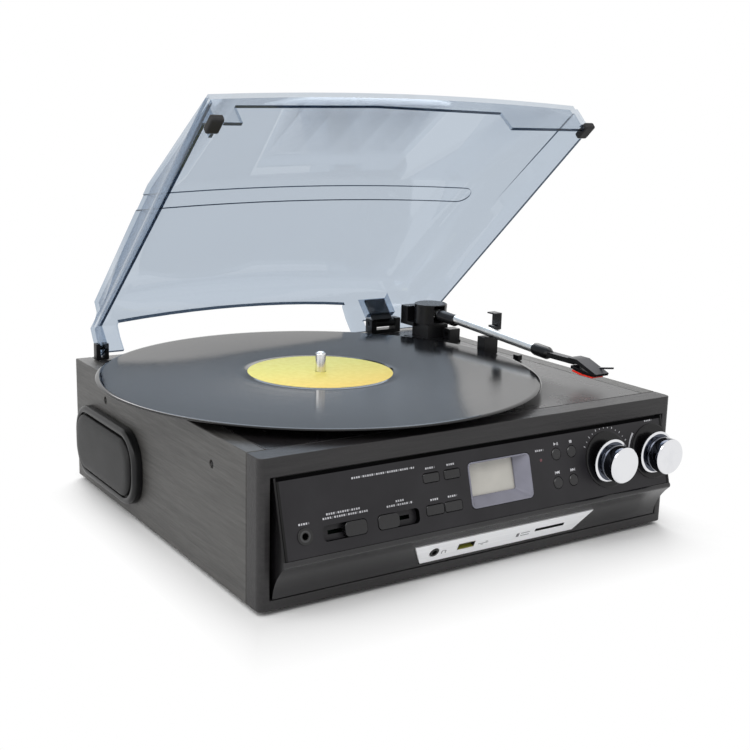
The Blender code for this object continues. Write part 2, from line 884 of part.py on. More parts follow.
def fascia_outline(inset):
    """Section of the fascia seen from the right, as depth and height, drawn in by inset."""
    lean_out = math.sin(SLOPE_LEAN)
    lean_up = math.cos(SLOPE_LEAN)
    back = FRONT_Y + FASCIA_BACK
    top = SLOPE_TOP - GAP - inset
    slope_in = inset / lean_up
    slope_y = FRONT_Y + slope_in
    points = [(slope_y - (SLOPE_TOP - top) * lean_out / lean_up, top)]
    lip_centre = (FRONT_Y - LIP_OUT, LIP_H)
    lip = arc(lip_centre, max(LIP_R - inset, FINE_EDGE), 115, 235, 5)
    points += lip
    for step in range(1, COVE_STEPS + 1):
        share = 1 - step / COVE_STEPS
        height = COVE_FOOT + (COVE_TOP - COVE_FOOT) * share
        reach = COVE_OUT * share**COVE_POWER
        bend = COVE_OUT * COVE_POWER / (COVE_TOP - COVE_FOOT) * share ** (COVE_POWER - 1)
        tilt = math.atan(bend)
        points.append(
            (
                FRONT_Y - reach + inset * math.cos(tilt),
                height + GAP + inset * math.sin(tilt) + (inset if step == COVE_STEPS else 0),
            )
        )
    reach_back = back + (OVERRUN if inset else 0)
    points.append((reach_back, points[-1][1]))
    points.append((reach_back, top))
    return [(depth, height + BOX_LOW) for depth, height in points]


def build_fascia(root, slope, strip_frame):
    gloss = finish("fascia_black", (0.016, 0.015, 0.017), 0.3)
    half = FASCIA_W / 2
    fascia = prism("front_fascia", root, fascia_outline(0), -half, half, gloss, FACE_RIGHT)
    hollow = prism(
        "fascia_hollow",
        root,
        fascia_outline(FASCIA_T),
        -half + FASCIA_T,
        half - FASCIA_T,
        face=FACE_RIGHT,
    )
    seat_half = PANEL_W / 2 + GAP
    seat = block(
        "panel_seat",
        slope,
        (-seat_half, -OVERRUN, -SLOPE_LONG - GAP),
        (seat_half, PANEL_T + GAP, OVERRUN),
    )
    window_half = PANEL_W / 2 - WINDOW_EDGE
    window = block(
        "panel_window",
        slope,
        (-window_half, -OVERRUN, -SLOPE_LONG + WINDOW_EDGE),
        (window_half, OVERRUN, -WINDOW_EDGE),
    )
    pocket = prism(
        "strip_pocket",
        strip_frame,
        strip_outline(GAP),
        -STRIP_T - GAP + STRIP_PROUD,
        OVERRUN,
        face=FACE_FRONT,
    )
    phones_bore = rod(
        "phones_clearance",
        strip_frame,
        PHONES_R + GAP,
        -OVERRUN - FASCIA_T,
        OVERRUN,
        (PHONES_X, 0, 0),
        face=FACE_FRONT,
    )
    usb_bore = block(
        "usb_clearance",
        strip_frame,
        (USB_X - USB_W / 2 - GAP, -OVERRUN, -USB_H / 2 - GAP),
        (USB_X + USB_W / 2 + GAP, OVERRUN, USB_H / 2 + GAP),
    )
    cut(fascia, hollow, seat, window, pocket, phones_bore, usb_bore)


def strip_outline(spare):
    """The port strip's outline in its own frame, with a margin all round."""
    half = math.hypot(STRIP_TOP - STRIP_FOOT, cove_out(STRIP_TOP) - cove_out(STRIP_FOOT)) / 2
    return [
        (STRIP_FOOT_LEFT - spare, -half - spare),
        (STRIP_FOOT_RIGHT + spare, -half - spare),
        (STRIP_TOP_RIGHT + spare, half + spare),
        (STRIP_TOP_LEFT - spare, half + spare),
    ]


def cove_out(height):
    """How far the cove stands out at a height above the cabinet's underside."""
    return COVE_OUT * ((height - COVE_FOOT) / (COVE_TOP - COVE_FOOT)) ** COVE_POWER


def build_control_panel(root, slope):
    satin = finish("panel_black", (0.02, 0.019, 0.022), 0.38)
    half = PANEL_W / 2
    top = down_slope(PANEL_TOP)
    foot = -SLOPE_LONG
    panel = prism(
        "control_panel", slope, rectangle(-half, half, foot, top), -PANEL_T, 0, satin, FACE_FRONT
    )
    knob_row = down_slope(KNOB_H)
    for name, across in (("tuning", TUNING_X), ("volume", VOLUME_X)):
        boss = turned(
            name + "_boss",
            slope,
            [
                (0, BOSS_PROUD),
                (BOSS_R - BOSS_EDGE, BOSS_PROUD),
                (BOSS_R, BOSS_PROUD - BOSS_EDGE / 2),
                (BOSS_R, -PANEL_T / 2),
                (0, -PANEL_T / 2),
            ],
            (across, 0, knob_row),
            face=FACE_FRONT,
            steps=24,
        )
        join(panel, boss)
    boss_cut = block(
        "panel_right_trim",
        slope,
        (half, -OVERRUN, foot - OVERRUN),
        (half + OVERRUN + BOSS_R, OVERRUN, top + OVERRUN),
    )
    for name, across in (("function", FUNCTION_X), ("band", BAND_X)):
        row = down_slope(SWITCH_ROW)
        tray = prism(
            name + "_tray",
            slope,
            rounded(
                SWITCH_W + 2 * SWITCH_TRAY_T,
                SWITCH_H + 2 * SWITCH_TRAY_T,
                SWITCH_ROUND,
                centre=(across, row),
            ),
            -SWITCH_DEEP - SWITCH_TRAY_T,
            -PANEL_T / 2,
            face=FACE_FRONT,
        )
        recess = prism(
            name + "_recess",
            slope,
            rounded(SWITCH_W, SWITCH_H, SWITCH_ROUND, centre=(across, row)),
            -SWITCH_DEEP,
            OVERRUN,
            face=FACE_FRONT,
        )
        slit_half = SWITCH_W / 2 - SLIDER_W / 2 + SLIDER_STEM_W / 2 + GAP
        slit = block(
            name + "_slit",
            slope,
            (across - slit_half, -OVERRUN, row - SWITCH_SLIT / 2 - GAP),
            (across + slit_half, OVERRUN, row + SWITCH_SLIT / 2 + GAP),
        )
        join(panel, tray)
        cut(panel, recess, slit)
    holes = [boss_cut]
    for name, across, height, width, tall, corner in KEYS:
        steps = 3 if corner == ROUND_KEY_R else 2
        outline = rounded(
            width + 2 * GAP,
            tall + 2 * GAP,
            corner + GAP,
            steps,
            centre=(across, down_slope(height)),
        )
        holes.append(
            prism(name + "_hole", slope, outline, -OVERRUN, OVERRUN, face=FACE_FRONT)
        )
    holes.append(
        prism(
            "bezel_hole",
            slope,
            rounded(
                BEZEL_W + 2 * GAP,
                BEZEL_H + 2 * GAP,
                BEZEL_ROUND,
                centre=(BEZEL_X, down_slope(BEZEL_ROW)),
            ),
            -OVERRUN,
            OVERRUN,
            face=FACE_FRONT,
        )
    )
    holes.append(
        rod(
            "aux_hole",
            slope,
            AUX_BARREL_R + GAP,
            -OVERRUN,
            OVERRUN,
            (AUX_X, 0, down_slope(AUX_ROW)),
            face=FACE_FRONT,
        )
    )
    for name, across in (("tuning", TUNING_X), ("volume", VOLUME_X)):
        holes.append(
            rod(
                name + "_stem_hole",
                root,
                STEM_BORE_R,
                -FRONT_Y - OVERRUN,
                KNOB_BACK + OVERRUN,
                (across, 0, BOX_LOW + KNOB_H),
                face=FACE_FRONT,
            )
        )
    cut(panel, *holes)


# Name, place across, height, width, height of the cap and corner of each button
KEYS = (
    ("record_button", RECORD_KEY_X, KEY_TOP_ROW, TOP_KEY_W, TOP_KEY_H, KEY_ROUND),
    ("mode_button", MODE_KEY_X, KEY_TOP_ROW, TOP_KEY_W, TOP_KEY_H, KEY_ROUND),
    ("delete_button", DELETE_KEY_X, KEY_LOW_ROW, LOW_KEY_W, LOW_KEY_H, KEY_ROUND),
    ("program_button", PROGRAM_KEY_X, KEY_LOW_ROW, LOW_KEY_W, LOW_KEY_H, KEY_ROUND),
    ("play_button", PLAY_KEY_X, ROUND_TOP_ROW, 2 * ROUND_KEY_R, 2 * ROUND_KEY_R, ROUND_KEY_R),
    ("stop_button", STOP_KEY_X, ROUND_TOP_ROW, 2 * ROUND_KEY_R, 2 * ROUND_KEY_R, ROUND_KEY_R),
    ("previous_button", PREVIOUS_KEY_X, ROUND_LOW_ROW, 2 * ROUND_KEY_R, 2 * ROUND_KEY_R, ROUND_KEY_R),
    ("next_button", NEXT_KEY_X, ROUND_LOW_ROW, 2 * ROUND_KEY_R, 2 * ROUND_KEY_R, ROUND_KEY_R),
)


def build_buttons(slope):
    coat = finish("button_black", (0.018, 0.018, 0.02), 0.35)
    flange_front = -PANEL_T - GAP
    flange_back = flange_front - BUTTON_FLANGE_T
    stem_end = -BOARD_IN + BUTTON_STOP
    for name, across, height, width, tall, corner in KEYS:
        flange = min(BUTTON_FLANGE, (PROGRAM_KEY_X - DELETE_KEY_X - LOW_KEY_W) / 2 - GAP)
        stages = (
            (BUTTON_STEM_R * 2, BUTTON_STEM_R * 2, BUTTON_STEM_R, stem_end),
            (BUTTON_STEM_R * 2, BUTTON_STEM_R * 2, BUTTON_STEM_R, flange_back),
            (width + 2 * flange, tall + 2 * BUTTON_FLANGE, corner + flange / 2, flange_back),
            (width + 2 * flange, tall + 2 * BUTTON_FLANGE, corner + flange / 2, flange_front),
            (width, tall, corner, flange_front),
            (width, tall, corner, BUTTON_PROUD - BUTTON_EDGE),
            (
                width - 2 * BUTTON_EDGE,
                tall - 2 * BUTTON_EDGE,
                corner - BUTTON_EDGE,
                BUTTON_PROUD,
            ),
        )
        steps = 3 if corner == ROUND_KEY_R else 2
        rings = [
            ring(rounded(wide, high, bend, steps), depth) for wide, high, bend, depth in stages
        ]
        loft(name, slope, rings, (across, 0, down_slope(height)), coat, FACE_FRONT)


def build_switches(slope):
    coat = finish("slider_black", (0.02, 0.02, 0.022), 0.45)
    travel = (SWITCH_W - SLIDER_W) / 2 - GAP
    for name, across, side in (("function", FUNCTION_X, 1), ("band", BAND_X, -1)):
        width = SLIDER_W
        tall = SWITCH_H - 2 * GAP
        edge = SLIDER_PROUD / 2
        floor = -SWITCH_DEEP + GAP
        stages = (
            (SLIDER_STEM_W, SWITCH_SLIT, GAP, floor - SLIDER_STEM_DEEP),
            (SLIDER_STEM_W, SWITCH_SLIT, GAP, floor),
            (width, tall, SWITCH_ROUND, floor),
            (width, tall, SWITCH_ROUND, SLIDER_PROUD - edge),
            (width - 2 * edge, tall - 2 * edge, SWITCH_ROUND - edge, SLIDER_PROUD),
        )
        rings = [ring(rounded(wide, high, bend), depth) for wide, high, bend, depth in stages]
        spot = (across + side * travel, 0, down_slope(SWITCH_ROW))
        loft(name + "_switch", slope, rings, spot, coat, FACE_FRONT)


def build_display(slope):
    grey = finish("bezel_grey", (0.32, 0.33, 0.38), 0.35)
    screen = finish("display_screen", (0.62, 0.64, 0.60), 0.2)
    centre = (BEZEL_X, down_slope(BEZEL_ROW))
    view = (VIEW_X, down_slope(VIEW_ROW))
    bezel = prism(
        "display_bezel",
        slope,
        rounded(BEZEL_W, BEZEL_H, BEZEL_ROUND, centre=centre),
        -BEZEL_DEEP,
        BEZEL_PROUD,
        grey,
        FACE_FRONT,
    )
    mouth_w = BEZEL_W - 2 * BEZEL_RIM
    mouth_h = BEZEL_H - 2 * BEZEL_RIM
    mouth = rounded(mouth_w, mouth_h, BEZEL_ROUND - BEZEL_RIM, centre=centre)
    window = rounded(VIEW_W, VIEW_H, BEZEL_RIM, centre=view)
    funnel = loft(
        "bezel_funnel",
        slope,
        [
            ring(window, -BEZEL_DEEP - OVERRUN),
            ring(window, -VIEW_DEEP),
            ring(mouth, BEZEL_PROUD),
            ring(mouth, BEZEL_PROUD + OVERRUN),
        ],
        (0, 0, 0),
        face=FACE_FRONT,
    )
    cut(bezel, funnel)
    low = -BEZEL_DEEP - GAP - DISPLAY_T
    prism(
        "display_module",
        slope,
        rounded(DISPLAY_W, DISPLAY_H, BEZEL_RIM, centre=centre),
        low,
        low + DISPLAY_T,
        screen,
        FACE_FRONT,
    )


def build_board(root, slope):
    green = finish("circuit_board", (0.02, 0.12, 0.05), 0.5)
    board = block(
        "main_board",
        slope,
        (-BOARD_W / 2, BOARD_IN, down_slope(BOARD_FOOT)),
        (BOARD_W / 2, BOARD_IN + BOARD_T, down_slope(BOARD_TOP)),
        green,
    )
    row = down_slope(KNOB_H)
    half = POT_SIZE / 2
    for name, across in (("tuning", TUNING_X), ("volume", VOLUME_X)):
        half_w = min(half, BOARD_W / 2 - across)
        pot = block(
            name + "_pot",
            slope,
            (across - half_w, PANEL_T + GAP, row - half),
            (across + half_w, BOARD_IN + BOARD_T / 2, row + half),
        )
        bore = rod(
            name + "_pot_bore",
            root,
            STEM_BORE_R,
            -FRONT_Y - OVERRUN - BOARD_IN,
            KNOB_BACK + OVERRUN,
            (across, 0, BOX_LOW + KNOB_H),
            face=FACE_FRONT,
        )
        join(board, pot)
        cut(board, bore)


def build_knobs(root):
    chrome = finish("knob_chrome", (0.85, 0.86, 0.88), 0.12, 1.0)
    stem_end = -FRONT_Y - BOARD_IN / 2
    flare_front = KNOB_BACK + KNOB_FLARE_T
    profile = [
        (0, KNOB_FACE),
        (KNOB_FACE_R - KNOB_EDGE, KNOB_FACE),
        (KNOB_FACE_R, KNOB_FACE - KNOB_EDGE),
        (KNOB_FACE_R, KNOB_FACE - KNOB_FACE_T),
        (KNOB_NECK_R, KNOB_FACE - KNOB_FACE_T - KNOB_EDGE),
        (KNOB_NECK_R, flare_front),
        (KNOB_FLARE_R - KNOB_EDGE, flare_front),
        (KNOB_FLARE_R, flare_front - KNOB_EDGE),
        (KNOB_FLARE_R, KNOB_BACK),
        (STEM_R, KNOB_BACK),
        (STEM_R, stem_end),
        (0, stem_end),
    ]
    for name, across in (("tuning_knob", TUNING_X), ("volume_knob", VOLUME_X)):
        spot = (across, 0, BOX_LOW + KNOB_H)
        turned(name, root, profile, spot, chrome, FACE_FRONT, steps=24)


def build_ports(slope, strip_frame):
    silver = finish("strip_silver", (0.78, 0.79, 0.80), 0.3, 0.6)
    black = finish("jack_black", (0.015, 0.015, 0.015), 0.4)
    steel = finish("socket_steel", (0.7, 0.66, 0.5), 0.3, 1.0)
    strip = prism(
        "port_strip",
        strip_frame,
        strip_outline(0),
        -STRIP_T + STRIP_PROUD,
        STRIP_PROUD,
        silver,
        FACE_FRONT,
    )
    phones_hole = rod(
        "phones_hole",
        strip_frame,
        PHONES_R + GAP,
        -OVERRUN,
        OVERRUN,
        (PHONES_X, 0, 0),
        face=FACE_FRONT,
    )
    usb_hole = block(
        "usb_hole",
        strip_frame,
        (USB_X - USB_W / 2 - GAP, -OVERRUN, -USB_H / 2 - GAP),
        (USB_X + USB_W / 2 + GAP, OVERRUN, USB_H / 2 + GAP),
    )
    card_hole = block(
        "card_hole",
        strip_frame,
        (CARD_X - CARD_W / 2, -OVERRUN, -CARD_H / 2),
        (CARD_X + CARD_W / 2, OVERRUN, CARD_H / 2),
    )
    cut(strip, phones_hole, usb_hole, card_hole)
    turned(
        "headphone_jack",
        strip_frame,
        [
            (PHONES_BORE_R, STRIP_PROUD + GAP),
            (PHONES_R, STRIP_PROUD + GAP),
            (PHONES_R, -PHONES_DEEP),
            (0, -PHONES_DEEP),
            (0, GAP - PHONES_DEEP + FASCIA_T),
            (PHONES_BORE_R, GAP - PHONES_DEEP + FASCIA_T),
        ],
        (PHONES_X, 0, 0),
        black,
        FACE_FRONT,
        steps=16,
        closed=True,
    )
    usb = block(
        "usb_socket",
        strip_frame,
        (USB_X - USB_W / 2, -STRIP_PROUD, -USB_H / 2),
        (USB_X + USB_W / 2, USB_DEEP, USB_H / 2),
        steel,
    )
    mouth = block(
        "usb_mouth",
        strip_frame,
        (USB_X - USB_W / 2 + USB_T, -OVERRUN, -USB_H / 2 + USB_T),
        (USB_X + USB_W / 2 - USB_T, USB_DEEP - STRIP_T, USB_H / 2 - USB_T),
    )
    tongue = block(
        "usb_tongue",
        strip_frame,
        (USB_X - USB_TONGUE_W / 2, STRIP_T, -USB_TONGUE_T / 2),
        (USB_X + USB_TONGUE_W / 2, USB_DEEP - STRIP_T / 2, USB_TONGUE_T / 2),
    )
    cut(usb, mouth)
    join(usb, tongue)
    turned(
        "aux_jack",
        slope,
        [
            (AUX_BORE_R, AUX_PROUD),
            (AUX_R, AUX_PROUD),
            (AUX_R, GAP),
            (AUX_BARREL_R, GAP),
            (AUX_BARREL_R, -AUX_DEEP),
            (0, -AUX_DEEP),
            (0, PANEL_T - AUX_DEEP),
            (AUX_BORE_R, PANEL_T - AUX_DEEP),
        ],
        (AUX_X, 0, down_slope(AUX_ROW)),
        black,
        FACE_FRONT,
        steps=16,
        closed=True,
    )


def build_turntable(root):
    vinyl = finish("vinyl", (0.012, 0.012, 0.013), 0.18)
    felt = finish("mat_rubber", (0.02, 0.02, 0.02), 0.8)
    alloy = finish("platter_plastic", (0.03, 0.03, 0.032), 0.4)
    tray = finish("well_plastic", (0.02, 0.02, 0.022), 0.45)
    brass = finish("bush_brass", (0.62, 0.48, 0.22), 0.3, 1.0)
    steel = finish("spindle_steel", (0.7, 0.7, 0.71), 0.2, 1.0)
    spot = (REC_X, REC_Y, 0)
    low = REC_TOP - REC_T
    turned(
        "record",
        root,
        [
            (SPINDLE_BORE_R, REC_TOP),
            (REC_R - REC_T / 2, REC_TOP),
            (REC_R, REC_TOP - REC_T / 2),
            (REC_R - REC_T / 2, low),
            (SPINDLE_BORE_R, low),
        ],
        spot,
        vinyl,
        steps=80,
        closed=True,
    )
    turned(
        "slip_mat",
        root,
        [
            (SPINDLE_BORE_R, MAT_TOP),
            (MAT_R - MAT_EDGE, MAT_TOP),
            (MAT_R, MAT_TOP - MAT_EDGE),
            (MAT_R, MAT_TOP - MAT_T),
            (SPINDLE_BORE_R, MAT_TOP - MAT_T),
        ],
        spot,
        felt,
        steps=40,
        closed=True,
    )
    disc_low = PLATTER_TOP - PLATTER_T
    skirt_low = WELL_FLOOR + RIM_CLEAR
    bush_top = WELL_FLOOR + WELL_BOSS_UP + GAP + BUSH_RIM_T
    turned(
        "platter",
        root,
        [
            (SPINDLE_BORE_R, PLATTER_TOP),
            (PLATTER_R - PLATTER_EDGE, PLATTER_TOP),
            (PLATTER_R, PLATTER_TOP - PLATTER_EDGE),
            (PLATTER_R, skirt_low),
            (PLATTER_R - PLATTER_WALL, skirt_low),
            (PLATTER_R - PLATTER_WALL, disc_low),
            (RIM_R, disc_low),
            (RIM_R, skirt_low),
            (RIM_R - PLATTER_WALL, skirt_low),
            (RIM_R - PLATTER_WALL, disc_low),
            (HUB_R, disc_low),
            (HUB_R, bush_top + GAP),
            (SPINDLE_BORE_R, bush_top + GAP),
        ],
        spot,
        alloy,
        steps=40,
        closed=True,
    )
    floor_low = WELL_FLOOR - WELL_T
    boss_low = WELL_FLOOR - WELL_BOSS_DOWN
    boss_top = WELL_FLOOR + WELL_BOSS_UP
    well = turned(
        "platter_well",
        root,
        [
            (WELL_R - WELL_T, DECK + GAP + WELL_FLANGE_T),
            (WELL_R + WELL_FLANGE, DECK + GAP + WELL_FLANGE_T),
            (WELL_R + WELL_FLANGE, DECK + GAP),
            (WELL_R, DECK + GAP),
            (WELL_R, floor_low),
            (WELL_BOSS_R, floor_low),
            (WELL_BOSS_R, boss_low),
            (WELL_BORE_R, boss_low),
            (WELL_BORE_R, boss_top),
            (WELL_BOSS_R, boss_top),
            (WELL_BOSS_R, WELL_FLOOR),
            (WELL_R - WELL_T, WELL_FLOOR),
        ],
        spot,
        tray,
        steps=40,
        closed=True,
    )
    pulley_hole = rod(
        "pulley_hole",
        root,
        MOTOR_BOSS_R + GAP,
        -OVERRUN,
        OVERRUN,
        (PULLEY_X, PULLEY_Y, WELL_FLOOR),
    )
    cut(well, pulley_hole)
    turned(
        "bearing_bush",
        root,
        [
            (SPINDLE_BORE_R, bush_top),
            (BUSH_RIM_R, bush_top),
            (BUSH_RIM_R, boss_top + GAP),
            (BUSH_R, boss_top + GAP),
            (BUSH_R, boss_low),
            (SPINDLE_BORE_R, boss_low),
        ],
        spot,
        brass,
        steps=20,
        closed=True,
    )
    spindle_top = BOX_LOW + SPINDLE_TOP
    turned(
        "spindle",
        root,
        [
            (0, spindle_top),
            (SPINDLE_R / 2, spindle_top - SPINDLE_NOSE / 8),
            (SPINDLE_R * math.cos(math.pi / 6), spindle_top - SPINDLE_NOSE / 2),
            (SPINDLE_R, spindle_top - SPINDLE_NOSE),
            (SPINDLE_R, boss_low - GAP),
            (0, boss_low - GAP),
        ],
        spot,
        steel,
        steps=20,
    )


def belt_outline(spare):
    """Round the platter's belt rim and the pulley, at a distance from both."""
    big = RIM_R + spare
    small = PULLEY_R + spare
    lean = math.degrees(math.acos((big - small) / PULLEY_REACH))
    turn = math.degrees(PULLEY_TURN)
    around = arc((REC_X, REC_Y), big, turn + lean, turn + 360 - lean, 30)
    back = arc((PULLEY_X, PULLEY_Y), small, turn - lean, turn + lean, 6)
    return around + back


def build_drive(root):
    rubber = finish("belt_rubber", (0.02, 0.02, 0.02), 0.6)
    steel = finish("motor_steel", (0.6, 0.6, 0.6), 0.35, 1.0)
    brass = finish("pulley_brass", (0.62, 0.48, 0.22), 0.3, 1.0)
    belt_low = WELL_FLOOR + RIM_CLEAR + BELT_LIFT
    belt_high = belt_low + BELT_H
    belt = prism("drive_belt", root, belt_outline(GAP + BELT_T), belt_low, belt_high, rubber)
    inside = prism(
        "belt_inside", root, belt_outline(GAP), belt_low - OVERRUN, belt_high + OVERRUN
    )
    cut(belt, inside)
    motor_top = WELL_FLOOR - WELL_T - GAP
    spot = (PULLEY_X, PULLEY_Y, 0)
    shaft_end = motor_top - MOTOR_H / 3
    turned(
        "motor",
        root,
        [
            (MOTOR_BORE_R, WELL_FLOOR),
            (MOTOR_BOSS_R, WELL_FLOOR),
            (MOTOR_BOSS_R, motor_top),
            (MOTOR_R - MOTOR_BORE_R, motor_top),
            (MOTOR_R, motor_top - MOTOR_BORE_R),
            (MOTOR_R, motor_top - MOTOR_H),
            (0, motor_top - MOTOR_H),
            (0, shaft_end - GAP),
            (MOTOR_BORE_R, shaft_end - GAP),
        ],
        spot,
        steel,
        steps=20,
        closed=True,
    )
    low = belt_low - GAP
    high = belt_high + GAP
    turned(
        "motor_pulley",
        root,
        [
            (0, high + PULLEY_RIM_T),
            (PULLEY_RIM_R, high + PULLEY_RIM_T),
            (PULLEY_RIM_R, high),
            (PULLEY_R, high),
            (PULLEY_R, low),
            (PULLEY_RIM_R, low),
            (PULLEY_RIM_R, low - PULLEY_RIM_T),
            (PULLEY_SHAFT_R, low - PULLEY_RIM_T),
            (PULLEY_SHAFT_R, shaft_end),
            (0, shaft_end),
        ],
        spot,
        brass,
        steps=16,
    )


def crease(depth):
    """Height of the side wall's crease above the deck, at a place from front to rear."""
    share = (depth - LID_FRONT_FOOT.x) / LID_SPAN
    return CREASE_FRONT + (CREASE_REAR - CREASE_FRONT) * share


def lid_section(across, inset, stage):
    """The shut lid's section at a place across it, drawn in by a wall, as depth and height.

    The lower stage of the side walls stops at the crease."""
    top_turn = (LID_RISE - LID_FRONT_TOP).angle(Vector((1, 0))) / 2 + math.pi / 4
    rise = LID_CROWN * (1 - (2 * across / LID_W) ** 2)
    upper = (
        (LID_FRONT_TOP, Vector((1, -math.tan(math.pi / 2 - top_turn))), 1),
        (LID_RISE, Vector((0, -1)), 1),
        (LID_REAR_TOP, Vector((-1, -1)), 1),
        (LID_STEP_FOOT, Vector((-1, -1)), 0),
        (LID_LEDGE_REAR, Vector((-1, -1)), 0),
        (LID_BACK_TOP, Vector((-1, 0)), 0),
    )
    points = []
    for corner, inward, crowned in upper:
        point = corner + inward * inset + Vector((0, rise * crowned))
        if stage == "lower":
            point.y = min(point.y, crease(point.x) - inset)
        points.append(point)
    if inset:
        front = [Vector((LID_FRONT_FOOT.x + inset, -OVERRUN))]
        rear = [Vector((LID_BACK_FOOT.x - inset, -OVERRUN))]
        return front + points + rear
    return [LID_FRONT_FOOT.copy(), *points, LID_BACK_FOOT.copy(), LID_RIM_REAR.copy()]


def lid_solid(name, parent, inset, coat=None):
    """The lid's outer form, or with a wall's inset the hollow inside it."""
    half = LID_W / 2 - inset
    step = FINE_EDGE / 2
    stations = [(-half, "lower"), (-half + LID_STAGE - step, "lower")]
    inner = half - LID_STAGE
    for slice_number in range(LID_SLICES + 1):
        stations.append((inner * (2 * slice_number / LID_SLICES - 1), "full"))
    stations += [(half - LID_STAGE + step, "lower"), (half, "lower")]
    rings = []
    for across, stage in stations:
        section = lid_section(across, inset, stage)
        rings.append([(across, point.x - HINGE_Y, point.y - HINGE_UP) for point in section])
    return loft(name, parent, rings, (0, 0, 0), coat)


def lid_point(across, depth, height):
    """A place on the shut lid, from depth and height above the deck to the hinge's frame."""
    return (across, depth - HINGE_Y, height - HINGE_UP)


def build_lid(root, hinge):
    smoke = finish("smoked_clear", (0.55, 0.62, 0.70), 0.08, 0.0, 0.45)
    black = finish("buffer_rubber", (0.015, 0.015, 0.015), 0.6)
    lid = lid_solid("lid", hinge, 0, smoke)
    hollow = lid_solid("lid_hollow", hinge, LID_T)
    cut(lid, hollow)
    top = LID_REAR_TOP.y + LID_CROWN + OVERRUN
    groove = groove_cutter(hinge, top)
    front_notch = prism(
        "front_notch",
        hinge,
        [
            (FRONT_NOTCH_LEFT, -OVERRUN - HINGE_UP),
            (FRONT_NOTCH_RIGHT, -OVERRUN - HINGE_UP),
            (FRONT_NOTCH_RIGHT, LID_FRONT_FOOT.y - HINGE_UP),
            (FRONT_NOTCH_RIGHT - FRONT_NOTCH_LEAN, FRONT_NOTCH_LOW - HINGE_UP),
            ((FRONT_NOTCH_LEFT + FRONT_NOTCH_RIGHT) / 2, FRONT_NOTCH_HIGH - HINGE_UP),
            (FRONT_NOTCH_LEFT, FRONT_NOTCH_LOW - HINGE_UP),
        ],
        HINGE_Y - LID_FRONT_TOP.x - OVERRUN,
        HINGE_Y - LID_FRONT_FOOT.x + OVERRUN,
        face=FACE_FRONT,
    )
    side_notch = prism(
        "side_notch",
        hinge,
        [
            (SIDE_NOTCH_FRONT - HINGE_Y, -OVERRUN - HINGE_UP),
            (SIDE_NOTCH_REAR - HINGE_Y, -OVERRUN - HINGE_UP),
            (SIDE_NOTCH_REAR - HINGE_Y, SIDE_NOTCH_HIGH - HINGE_UP),
            (SIDE_NOTCH_FRONT - HINGE_Y, SIDE_NOTCH_LOW - HINGE_UP),
        ],
        -LID_W / 2 - OVERRUN,
        -LID_W / 2 + OVERRUN,
        face=FACE_RIGHT,
    )
    width = BACK_NOTCH_RIGHT - BACK_NOTCH_LEFT
    sag = BACK_NOTCH_END - BACK_NOTCH_MID
    radius = (width**2 / 4 + sag**2) / (2 * sag)
    half_turn = math.degrees(math.asin(width / 2 / radius))
    middle = ((BACK_NOTCH_LEFT + BACK_NOTCH_RIGHT) / 2, BACK_NOTCH_MID + radius - HINGE_Y)
    back_arc = arc(middle, radius, 270 - half_turn, 270 + half_turn, BACK_NOTCH_STEPS)
    beyond = LID_BACK_FOOT.x + OVERRUN - HINGE_Y
    back_notch = prism(
        "back_notch",
        hinge,
        [*back_arc, (BACK_NOTCH_RIGHT, beyond), (BACK_NOTCH_LEFT, beyond)],
        -OVERRUN - HINGE_UP,
        top,
    )
    leg_notch = block(
        "left_leg_notch",
        hinge,
        lid_point(-LID_W / 2 + LID_T, LEFT_BASE_REAR, -OVERRUN),
        lid_point(BACK_NOTCH_LEFT + OVERRUN, LID_BACK_FOOT.x + OVERRUN, LEG_NOTCH_TOP),
    )
    hinge_notch = block(
        "right_hinge_notch",
        hinge,
        lid_point(RIGHT_BASE_LEFT - HINGE_NOTCH_SIDE, LEFT_BASE_REAR, -OVERRUN),
        lid_point(RIGHT_BASE_RIGHT + HINGE_NOTCH_SIDE, LID_BACK_FOOT.x + OVERRUN, HINGE_NOTCH_TOP),
    )
    socket = block(
        "leaf_socket",
        hinge,
        lid_point(POCKET_LEFT, LEAF_Y - POCKET_DEEP / 2, POCKET_FOOT),
        lid_point(POCKET_RIGHT, LEAF_Y + POCKET_DEEP / 2, POCKET_TOP),
    )
    slot = block(
        "leaf_slot",
        hinge,
        lid_point(LEAF_LEFT - GAP, LEAF_Y - LEAF_T / 2 - GAP, POCKET_FOOT - OVERRUN),
        lid_point(LEAF_RIGHT + GAP, LEAF_Y + LEAF_T / 2 + GAP, LEAF_TOP + GAP),
    )
    pin_hole = rod(
        "left_pin_hole",
        hinge,
        PIN_BORE_R,
        -LID_W / 2 - OVERRUN,
        -LID_W / 2 + OVERRUN,
        (0, 0, 0),
        face=FACE_RIGHT,
    )
    buffer_tools = []
    for name, side in (("left", -1), ("right", 1)):
        low = lid_point(min(side * BUFFER_IN_X, side * BUFFER_OUT_X), -BUFFER_FRONT, GAP)
        high = lid_point(max(side * BUFFER_IN_X, side * BUFFER_OUT_X), -BUFFER_REAR, BUFFER_H)
        block(name + "_lid_buffer", hinge, low, high, black, SOFT_EDGE)
        spare = Vector((GAP, GAP, GAP))
        buffer_tools.append(
            block(name + "_buffer_room", hinge, Vector(low) - spare, Vector(high) + spare)
        )
    cut(lid, groove, front_notch, side_notch, back_notch, leg_notch, hinge_notch)
    join(lid, socket)
    cut(lid, slot, pin_hole, *buffer_tools)


